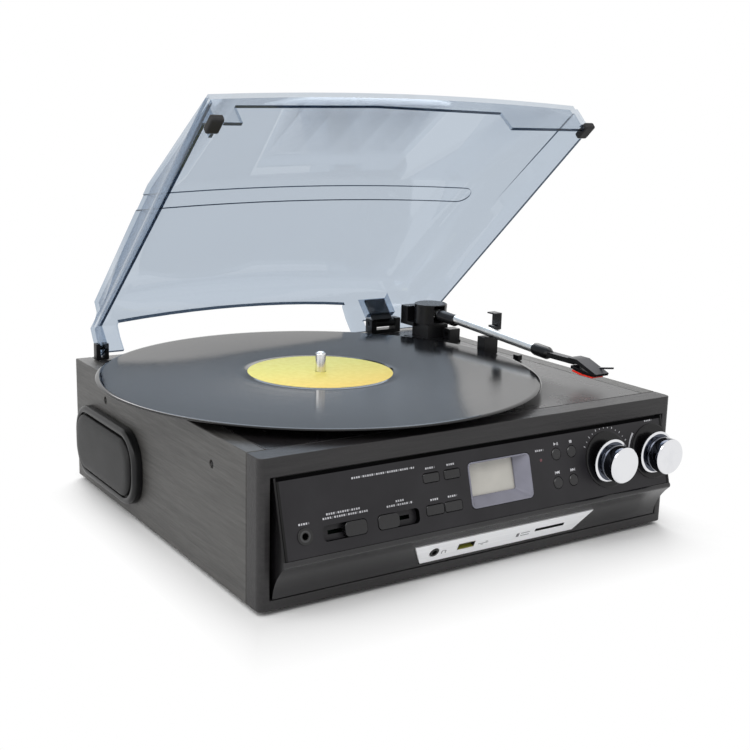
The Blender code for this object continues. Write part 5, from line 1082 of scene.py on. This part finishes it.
class RECORDPLAYER_OT_front(bpy.types.Operator):
    """Fascia, control panel, display, port strip and sockets"""

    bl_idname = "record_player.front"
    bl_label = "Front"

    def execute(self, context):
        sizes = context.scene.record_player_sizes
        # The fascia's cheeks and the faces round the panel take painted shade
        finishes = ("fascia_black", "ring_and_shade_black")
        softened("front_fascia", sizes.moulded_edge, finishes, in_panel_shade)
        finishes = ("panel_black", "ring_and_shade_black", "gap_shade_black")
        softened("control_panel", sizes.moulded_edge / SMALL, finishes, panel_part)
        softened("display_bezel", sizes.moulded_edge / SMALL)
        finishes = ("strip_silver", "hole_shade_black")
        softened("port_strip", sizes.moulded_edge / SMALLER, finishes, in_card_slot)
        for node in ("display_module", "main_board"):
            keep(node)
        softened("headphone_jack", sizes.moulded_edge / SMALL)
        softened("aux_jack", sizes.moulded_edge / SMALL, ("aux_rings",))
        finishes = ("socket_steel", "usb_mouth", "usb_floor")
        softened("usb_socket", sizes.moulded_edge / SMALLEST, finishes, in_usb_mouth)
        self.panel_print()
        self.strip_print()
        self.lamp()
        self.card_reader()
        self.panel_gap_shade()
        return {"FINISHED"}

    def panel_gap_shade(self):
        """A black strip painted as shade in the gap between the panel and the head of the front frame."""
        plane = front_plane("control_panel")
        low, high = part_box("control_panel")
        top = up_plane(plane, high.z - CABINET_FOOT) - PANEL_TOP_SHADE / 2
        outline = oblong(0, top, high.x - low.x, PANEL_TOP_SHADE)
        add_print("panel_gap_shade", [outline], plane, "panel_black", "gap_shade_black")

    def card_reader(self):
        """The card reader's dark mouth behind its slot in the strip, a sheet that also carries the slot's painted
        shade.
        """
        plane = front_plane("port_strip")
        outline = oblong(CARD_X, up_plane(plane, STRIP_ROW), 2 * CARD_REACH, 2 * CARD_UP)
        mouth = slab(outline, -CARD_DEEP - CARD_THICK, -CARD_DEEP, plane)
        mesh = mesh_from(mouth, "card_reader_mouth_and_shade")
        add_piece("card_reader_mouth_and_shade", mesh, "cabinet", "strip_silver", "hole_shade_black")

    def panel_print(self):
        """Pale rows of small generic marks, symbols and dial scales."""
        plane = front_plane("control_panel")
        outlines = [*self.rows(plane), *self.symbols(plane), *self.scales(plane)]
        add_print("panel_print", outlines, plane, "panel_black", "print_white")

    def rows(self, plane):
        """Short marks side by side, in the place of words."""
        for across, height, width in PRINTED_ROWS:
            up = up_plane(plane, height)
            left = across - width / 2
            for sign in range(int(width / SIGN_PITCH)):
                share = SIGN_SHARES[sign % len(SIGN_SHARES)]
                middle = left + (sign + 0.5) * SIGN_PITCH
                yield oblong(middle, up, SIGN_PITCH * share, MARK_TALL)

    def symbols(self, plane):
        """Bars and arrows of the play controls."""
        for across, height, width, tall in PRINTED_BARS:
            yield oblong(across, up_plane(plane, height), width, tall)
        for across, height, turn in PRINTED_ARROWS:
            yield triangle(across, up_plane(plane, height), ARROW_SIZE, turn)

    def scales(self, plane):
        """Ticks round the tuning knob, and a growing arc beside the volume knob."""
        tuning, volume = (
            (axis.x - CABINET_MID, up_plane(plane, axis.z - CABINET_FOOT))
            for axis in (JOINTS["tuning_turn"], JOINTS["volume_turn"])
        )
        for tick in range(SCALE_TICKS):
            turn = math.radians(SCALE_START - SCALE_SWEEP * tick / (SCALE_TICKS - 1))
            long = SCALE_OUT if tick % 2 == 0 else (SCALE_IN + SCALE_OUT) / 2
            yield self.tick(*tuning, turn, long)
        start, end = (math.radians(angle) for angle in VOLUME_ARC)
        yield sector(*volume, SCALE_IN, SCALE_OUT, start, end)[::-1]

    def tick(self, across, up, turn, long):
        """A short stroke of a dial scale, on a radius."""
        half = TICK_WIDE / 2
        ways = ((SCALE_IN, -half), (long, -half), (long, half), (SCALE_IN, half))
        cos, sin = math.cos(turn), math.sin(turn)
        return [(across + r * cos - s * sin, up + r * sin + s * cos) for r, s in ways]

    def strip_print(self):
        """Small grey marks beside the sockets."""
        plane = front_plane("port_strip")
        outlines = [oblong(x, up, width, tall) for x, up, width, tall in STRIP_MARKS]
        add_print("strip_print", outlines, plane, "strip_silver", "print_grey")

    def lamp(self):
        """The power lamp's small lens."""
        plane = front_plane("control_panel")
        centre = plane @ Vector((LAMP_X, up_plane(plane, LAMP_HEIGHT), 0))
        mesh = mesh_from(spun(LAMP_LENS, centre, plane.col[2].xyz, steps=24), "power_lamp")
        add_piece("power_lamp", mesh, "cabinet", "panel_black", "lamp_red")


BUTTONS = (
    "record_button",
    "mode_button",
    "delete_button",
    "program_button",
    "play_button",
    "stop_button",
    "previous_button",
    "next_button",
)

# Radius and height of a knob from its face: cylinder, neck and flare, down to the shaft's foot
KNOB_PROFILE = (
    (0, -0.0004),
    (0.0079, -0.0004),
    (0.0091, -0.0002),
    (0.0104, 0),
    (0.0113, -0.0002),
    (0.0118, -0.0007),
    (0.0119, -0.0012),
    (0.0119, -0.0088),
    (0.0116, -0.0094),
    (0.0110, -0.0096),
    (0.0108, -0.0103),
    (0.0110, -0.0111),
    (0.0122, -0.0115),
    (0.0129, -0.01165),
    (0.0138, -0.0118),
    (0.0144, -0.0123),
    (0.0145, -0.0130),
    (0.0142, -0.0136),
    (0.0130, -0.0138),
    (0.0030, -0.0138),
)
KNOB_SHAFT_R = 0.0030

# Parts of a knob painted with a dark reflection: how little a side-on face looks to the front, the wall's radii,
# the flare's rim, and the depth and radius of the neck behind the cylinder
KNOB_SIDE_ON = 0.45
KNOB_WALL = (0.0100, 0.0121)
KNOB_FLARE_RIM = 0.0142
KNOB_NECK_DEEP = 0.0095
KNOB_NECK_REACH = 0.0129


class RECORDPLAYER_OT_controls(bpy.types.Operator):
    """Chrome knobs, buttons, switches and the deck lever"""

    bl_idname = "record_player.controls"
    bl_label = "Controls"

    def execute(self, context):
        sizes = context.scene.record_player_sizes
        for joint, node in (("tuning_turn", "tuning_knob"), ("volume_turn", "volume_knob")):
            self.knob(JOINTS[joint], node)
        for node in BUTTONS:
            softened(node, sizes.moulded_edge / SMALLER)
        for node in ("function_switch", "band_switch", "speed_lever"):
            softened(node, sizes.moulded_edge / SMALL)
        return {"FINISHED"}

    def knob(self, axis, node):
        """Flare, neck and polished cylinder with a turned face; the cylinder's wall, the flare's rim and the neck
        get a painted dark reflection.
        """
        low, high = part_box(node)
        centre = Vector((axis.x, low.y, axis.z))
        out = Vector((0, -1, 0))
        long = high.y - low.y
        profile = [*KNOB_PROFILE, (KNOB_SHAFT_R, -long), (0, -long)]
        bm = spun(profile, centre, out)
        for face in bm.faces:
            offset = face.calc_center_median() - centre
            reach = offset.cross(out).length
            side_on = abs(face.normal.y) < KNOB_SIDE_ON
            behind = offset.dot(out) < -KNOB_NECK_DEEP
            on_wall = KNOB_WALL[0] < reach < KNOB_WALL[1] or reach > KNOB_FLARE_RIM
            neck = behind and reach < KNOB_NECK_REACH
            face.material_index = int((side_on and on_wall) or neck)
        made = node + "_turned"
        mesh = mesh_from(bm, made)
        finishes = ("knob_chrome", "knob_dark_reflection")
        add_piece(made, mesh, body_of(node), "knob_chrome", *finishes, replaces=(node,))


HIDDEN_DRIVE = (
    "slip_mat",
    "platter",
    "platter_well",
    "bearing_bush",
    "drive_belt",
    "motor",
    "motor_pulley",
)

# Record: its hole, the run-out's radii and depth, the grooves' depth, the outer bead's
# widths, and the rim's rounding, with its depths as shares of the thickness
HOLE_R = 0.00385
RUN_OUT = (0.0565, 0.0572)
RUN_OUT_DEEP = 0.0002
GROOVE_DEEP = 0.0001
BEAD = (0.0045, 0.0030)
RIM_ROUND = 0.0012
RIM_DRAWN_IN = 0.0003
RIM_SHARES = (0.3, 0.5, 0.7)

# Paper label: heights of its underside and top over the record, and its bevel
LABEL_LOW = 0.00002
LABEL_TOP = 0.00010
LABEL_BEVEL = 0.0002

# Height of the spindle's round nose, as a share of its radius, and its steps
NOSE_SHARE = 0.55
NOSE_STEPS = 8


class RECORDPLAYER_OT_turntable(bpy.types.Operator):
    """Record with its label, mat, platter, spindle and the drive under them"""

    bl_idname = "record_player.turntable"
    bl_label = "Turntable"

    def execute(self, context):
        label_radius = context.scene.record_player_sizes.label_radius
        self.pressing(label_radius)
        self.label(label_radius)
        self.spindle()
        for node in HIDDEN_DRIVE:
            keep(node)
        return {"FINISHED"}

    def pressing(self, label_radius):
        """Record with its sunk run-out, its grooves' bed and a bead at the rim."""
        low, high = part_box("record")
        radius = (high.x - low.x) / 2
        thick = high.z - low.z
        profile = [
            (HOLE_R, 0),
            (label_radius, 0),
            (label_radius + 2 * RUN_OUT_DEEP, -RUN_OUT_DEEP),
            (RUN_OUT[0], -RUN_OUT_DEEP),
            (RUN_OUT[1], -GROOVE_DEEP),
            (radius - BEAD[0], -GROOVE_DEEP),
            (radius - BEAD[1], 0),
            (radius - RIM_ROUND, 0),
            (radius - RIM_DRAWN_IN, -thick * RIM_SHARES[0]),
            (radius, -thick * RIM_SHARES[1]),
            (radius - RIM_DRAWN_IN, -thick * RIM_SHARES[2]),
            (radius - RIM_ROUND, -thick),
            (HOLE_R, -thick),
            (HOLE_R, 0),
        ]
        centre = Vector((SPINDLE.x, SPINDLE.y, high.z))
        mesh = mesh_from(spun(profile, centre, UP, steps=256), "record_pressing")
        add_piece("record_pressing", mesh, "platter", "vinyl", replaces=("record",))

    def label(self, radius):
        """Thin paper on the middle of the record."""
        centre = Vector((SPINDLE.x, SPINDLE.y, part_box("record")[1].z))
        paper = [
            (HOLE_R, LABEL_LOW),
            (HOLE_R, LABEL_TOP),
            (radius - LABEL_BEVEL, LABEL_TOP),
            (radius, LABEL_LOW),
            (HOLE_R, LABEL_LOW),
        ]
        mesh = mesh_from(spun(paper, centre, UP, steps=128), "record_label")
        add_piece("record_label", mesh, "platter", "vinyl", "label_paper")

    def spindle(self):
        """Steel pin with a rounded nose."""
        low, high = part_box("spindle")
        radius = (high.x - low.x) / 2
        long = high.z - low.z
        nose = [
            (radius * math.sin(turn), -radius * NOSE_SHARE * (1 - math.cos(turn)))
            for turn in (step * math.pi / 2 / NOSE_STEPS for step in range(NOSE_STEPS + 1))
        ]
        profile = [*nose, (radius, -long), (0, -long)]
        centre = Vector((SPINDLE.x, SPINDLE.y, high.z))
        mesh = mesh_from(spun(profile, centre, UP, steps=48), "spindle_turned")
        add_piece("spindle_turned", mesh, "platter", "spindle_steel", replaces=("spindle",))


# The hinge's place in the shut lid: behind the lid's middle, and above the deck
HINGE_DEPTH = 0.134
HINGE_UP = 0.0086

# Places on the shut lid: the front wall, from the hinge, then the rims' top, the depths of
# the side walls' notch and of the top's groove, and the heights over which they start
LID_FRONT = -0.20
RIM_TOP = 0.0203
NOTCH = (0.1255, 0.1360)
NOTCH_FOOT = 0.026
GROOVE = (-0.0075, 0.0125)
GROOVE_FOOT = 0.030
GROOVE_END_FOOT = 0.038

# Shares of a normal: of a side wall's along X, of a wall across the lid's along Y, and of
# an upright wall's along Z at most
LID_SIDEWAYS = 0.75
LID_ACROSS = 0.8
LID_UPRIGHT = 0.3


def lid_part(spot, normal):
    """The place among the lid's finishes of a face of the shut lid: the cut edges and the left wall get painted
    shade, the front wall painted light.
    """
    if cut_edge(spot, normal):
        return 3
    if abs(normal.x) > LID_SIDEWAYS and spot.x < 0:
        return 1
    return 2 if abs(normal.y) > LID_ACROSS and spot.y < LID_FRONT else 0


def cut_edge(spot, normal):
    """Whether a face of the shut lid is a cut edge, a rim or a groove's wall, which are painted dark as shade."""
    depth = spot.y + HINGE_DEPTH
    height = spot.z + HINGE_UP
    across = abs(normal.y) > LID_ACROSS
    in_groove = GROOVE[0] < depth < GROOVE[1]
    rim = normal.z < -FACING and height < RIM_TOP
    notch = across and NOTCH[0] < depth < NOTCH[1] and height > NOTCH_FOOT
    groove = across and in_groove and height > GROOVE_FOOT
    groove_end = abs(normal.z) < LID_UPRIGHT and in_groove and height > GROOVE_END_FOOT
    return rim or notch or groove or groove_end


class RECORDPLAYER_OT_lid(bpy.types.Operator):
    """Clear lid with painted shade on its cut edges, its hinges and corner buffers"""

    bl_idname = "record_player.lid"
    bl_label = "Lid"

    def execute(self, context):
        sizes = context.scene.record_player_sizes
        bm = copied("lid")
        bmesh.ops.triangulate(bm, faces=[face for face in bm.faces if len(face.verts) > 4])
        shut = Matrix.Rotation(LID_OPEN, 3, "X")
        for face in bm.faces:
            normal = shut @ face.normal
            spot = shut @ (face.calc_center_median() - LID_AXIS)
            face.material_index = lid_part(spot, normal)
        mesh = mesh_from(bm, "lid_moulding", SHARP_LID)
        finishes = ("smoked_clear", "smoked_wall_shaded", "smoked_front_lit", "smoked_edge_shaded")
        add_piece("lid_moulding", mesh, "lid", "smoked_clear", *finishes, replaces=("lid",))
        for node in ("left_hinge_base", "right_hinge_base", "right_hinge_leaf"):
            softened(node, sizes.moulded_edge / SMALL)
        for node in ("left_lid_buffer", "right_lid_buffer"):
            keep(node)
        return {"FINISHED"}


ARM_MOULDINGS = (
    "arm_base",
    "arm_rest",
    "arm_clip",
    "cartridge",
    "stylus_holder",
    "arm_turret",
    "balance_weight",
)

# Where the head starts, and how far up its grey faces look: the cover's own grey, and painted sheen on the neck's
# top
HEAD_BACK = ARM_AXIS.y - 0.1515
HEAD_UPWARD = 0.35

# Collar: radius, start and length along the tube, bevel, and the slope of its far end
COLLAR_R = 0.0046
COLLAR_START = 0.0142
COLLAR_LONG = 0.021
COLLAR_BEVEL = 0.0003
COLLAR_SLOPE_LONG = 0.0012
COLLAR_SLOPE_DEEP = 0.0008


def grey_cover_and_sheen(face):
    """Upward faces of the head are grey: the cover's own grey, and painted sheen on the neck's top; the rest is
    black.
    """
    centre = face.calc_center_median()
    return int(face.normal.z > HEAD_UPWARD and centre.y < HEAD_BACK)


class RECORDPLAYER_OT_tone_arm(bpy.types.Operator):
    """Arm base, turret, tube, head, cartridge, stylus and rest"""

    bl_idname = "record_player.tone_arm"
    bl_label = "Tone arm"

    def execute(self, context):
        sizes = context.scene.record_player_sizes
        for node in ARM_MOULDINGS:
            softened(node, sizes.moulded_edge / SMALL)
        finishes = ("arm_black", "head_grey")
        softened("headshell", sizes.moulded_edge / SMALLER, finishes, grey_cover_and_sheen)
        softened("arm_tube", sizes.moulded_edge / SMALLER)
        self.collar()
        return {"FINISHED"}

    def collar(self):
        """Black sleeve on the tube where it leaves the turret."""
        along = Vector((0, -math.cos(ARM_SLOPE), -math.sin(ARM_SLOPE)))
        near = COLLAR_START
        far = near + COLLAR_LONG
        bore = ARM_TUBE_R + WELD * 3
        sleeve = [
            (bore, near),
            (COLLAR_R - COLLAR_BEVEL, near),
            (COLLAR_R, near + COLLAR_BEVEL),
            (COLLAR_R, far - COLLAR_SLOPE_LONG),
            (COLLAR_R - COLLAR_SLOPE_DEEP / 2, far - COLLAR_BEVEL),
            (COLLAR_R - COLLAR_SLOPE_DEEP, far),
            (bore, far),
            (bore, near),
        ]
        mesh = mesh_from(spun(sleeve, ARM_AXIS, along, steps=48), "arm_collar")
        add_piece("arm_collar", mesh, "tone_arm", "arm_black")


# The photograph's camera: its place, then its yaw, pitch and roll in degrees
CAMERA_SPOT = (-0.42545, -0.67012, 0.2744)
CAMERA_TURN = (-33.4, 12.7, 1.5)
SENSOR_WIDTH = 36
CLIP_START = 0.01

# Name, place, size and power of each lamp, and the place that they all face
LAMPS = (
    ("key_softbox", (-0.9, -1.3, 1.9), 1.5, 26),
    ("rear_softbox", (0.7, 1.6, 1.7), 1.7, 34),
    ("left_softbox", (-1.9, 0.1, 1.15), 2.2, 17),
)
LAMP_AIM = Vector((0, 0, 0.08))
FLOOR_RADIUS = 6.0

# Strength of the world as light, where 1 is the white that the camera sees
WORLD_LIGHT = 0.56

# Distances from the cabinet between which the floor's shadow gives way to white, and
# how much sooner it does so at the sides
FADE = (0.008, 0.062)
SIDE_FADE = 1.8


def floor_finish():
    """Pale floor that keeps the shadow near the player and fades to white."""
    made = Finish("floor_paper", (0.84, 0.84, 0.84), 0.9, Specular_IOR_Level=0.0)
    grain = made.noise(made.place(), scale=30)
    made.set("Base Color", made.mix(grain, (0.83, 0.83, 0.83), (0.85, 0.85, 0.85)))
    white = made.node("ShaderNodeEmission", values={"Color": (1, 1, 1), "Strength": 1.0})
    middle = Vector((CABINET_MID, (FRONT_FACE + CABINET_BACK) / 2, 0))
    across, along, _ = made.axes(made.place(middle))
    beside = (across.size() - (CABINET_RIGHT - CABINET_LEFT) / 2) * SIDE_FADE
    beyond = beside.or_more(along.size() - (CABINET_BACK - FRONT_FACE) / 2).ramp(*FADE)
    made.surface(made.white_rays() * beyond, made.own_shader(), white)
    return made.material


class RECORDPLAYER_OT_stage(bpy.types.Operator):
    """Pale floor, soft lamps, white surroundings and the camera"""

    bl_idname = "record_player.stage"
    bl_label = "Stage"

    def execute(self, context):
        floor = bpy.data.meshes.new("floor")
        bm = bmesh.new()
        bmesh.ops.create_circle(bm, cap_ends=True, segments=96, radius=FLOOR_RADIUS)
        bm.to_mesh(floor)
        bm.free()
        obj = bpy.data.objects.new("floor", floor)
        context.scene.collection.objects.link(obj)
        floor.materials.append(floor_finish())
        self.world(context.scene)
        for name, spot, size, power in LAMPS:
            self.lamp(name, spot, size, power)
        self.camera(context)
        context.scene.view_settings.view_transform = "Standard"
        return {"FINISHED"}

    def lamp(self, name, spot, size, power):
        """A square softbox that faces the player."""
        light = bpy.data.lights.new(name, "AREA")
        light.energy = power
        light.size = size
        obj = bpy.data.objects.new(name, light)
        bpy.context.scene.collection.objects.link(obj)
        obj.location = spot
        aim = LAMP_AIM - Vector(spot)
        obj.rotation_euler = aim.to_track_quat("-Z", "Y").to_euler()

    def world(self, scene):
        """White where the camera, gloss or clear plastic sees it, softer as light."""
        scene.world = bpy.data.worlds.new("studio")
        scene.world.use_nodes = True
        nodes = Nodes(scene.world.node_tree)
        level = WORLD_LIGHT + nodes.white_rays() * (1 - WORLD_LIGHT)
        background = nodes.tree.nodes["Background"]
        nodes.put(background.inputs["Color"], (1, 1, 1))
        nodes.put(background.inputs["Strength"], level)

    def camera(self, context):
        """The photograph's place and angle."""
        yaw, pitch, roll = (math.radians(angle) for angle in CAMERA_TURN)
        back = Vector(
            (math.sin(yaw) * math.cos(pitch), -math.cos(yaw) * math.cos(pitch), math.sin(pitch))
        )
        right = Vector((math.cos(yaw), math.sin(yaw), 0))
        up = back.cross(right)
        level_right = right * math.cos(roll) + up * math.sin(roll)
        level_up = up * math.cos(roll) - right * math.sin(roll)
        data = bpy.data.cameras.new("camera")
        data.lens = context.scene.record_player_sizes.camera_lens
        data.sensor_width = SENSOR_WIDTH
        data.clip_start = CLIP_START
        obj = bpy.data.objects.new("camera", data)
        context.scene.collection.objects.link(obj)
        turn = Matrix((level_right, level_up, back)).transposed().to_4x4()
        obj.matrix_world = Matrix.Translation(Vector(CAMERA_SPOT)) @ turn
        context.scene.camera = obj


class RECORDPLAYER_PT_looks(bpy.types.Panel):
    """Sizes, colours and steps"""

    bl_label = "Record Player"
    bl_idname = "RECORDPLAYER_PT_looks"
    bl_space_type = "VIEW_3D"
    bl_region_type = "UI"
    bl_category = "Record Player"

    def draw(self, context):
        for group in (context.scene.record_player_sizes, context.scene.record_player_colours):
            for name in group.__annotations__:
                self.layout.prop(group, name)
        for step in STEPS:
            self.layout.operator(step.bl_idname)


STEPS = (
    RECORDPLAYER_OT_finishes,
    RECORDPLAYER_OT_cabinet,
    RECORDPLAYER_OT_front,
    RECORDPLAYER_OT_controls,
    RECORDPLAYER_OT_turntable,
    RECORDPLAYER_OT_lid,
    RECORDPLAYER_OT_tone_arm,
    RECORDPLAYER_OT_stage,
)
CLASSES = (RecordPlayerSizes, RecordPlayerColours, *STEPS, RECORDPLAYER_PT_looks)


def register():
    for item in CLASSES:
        bpy.utils.register_class(item)
    scene = bpy.types.Scene
    scene.record_player_sizes = bpy.props.PointerProperty(type=RecordPlayerSizes)
    scene.record_player_colours = bpy.props.PointerProperty(type=RecordPlayerColours)


def unregister():
    del bpy.types.Scene.record_player_colours
    del bpy.types.Scene.record_player_sizes
    for item in reversed(CLASSES):
        bpy.utils.unregister_class(item)


def main():
    register()
    for name in ("finishes", "cabinet", "front", "controls", "turntable", "lid", "tone_arm"):
        getattr(bpy.ops.record_player, name)()
    bpy.ops.record_player.stage()


if __name__ == "__main__":
    main()
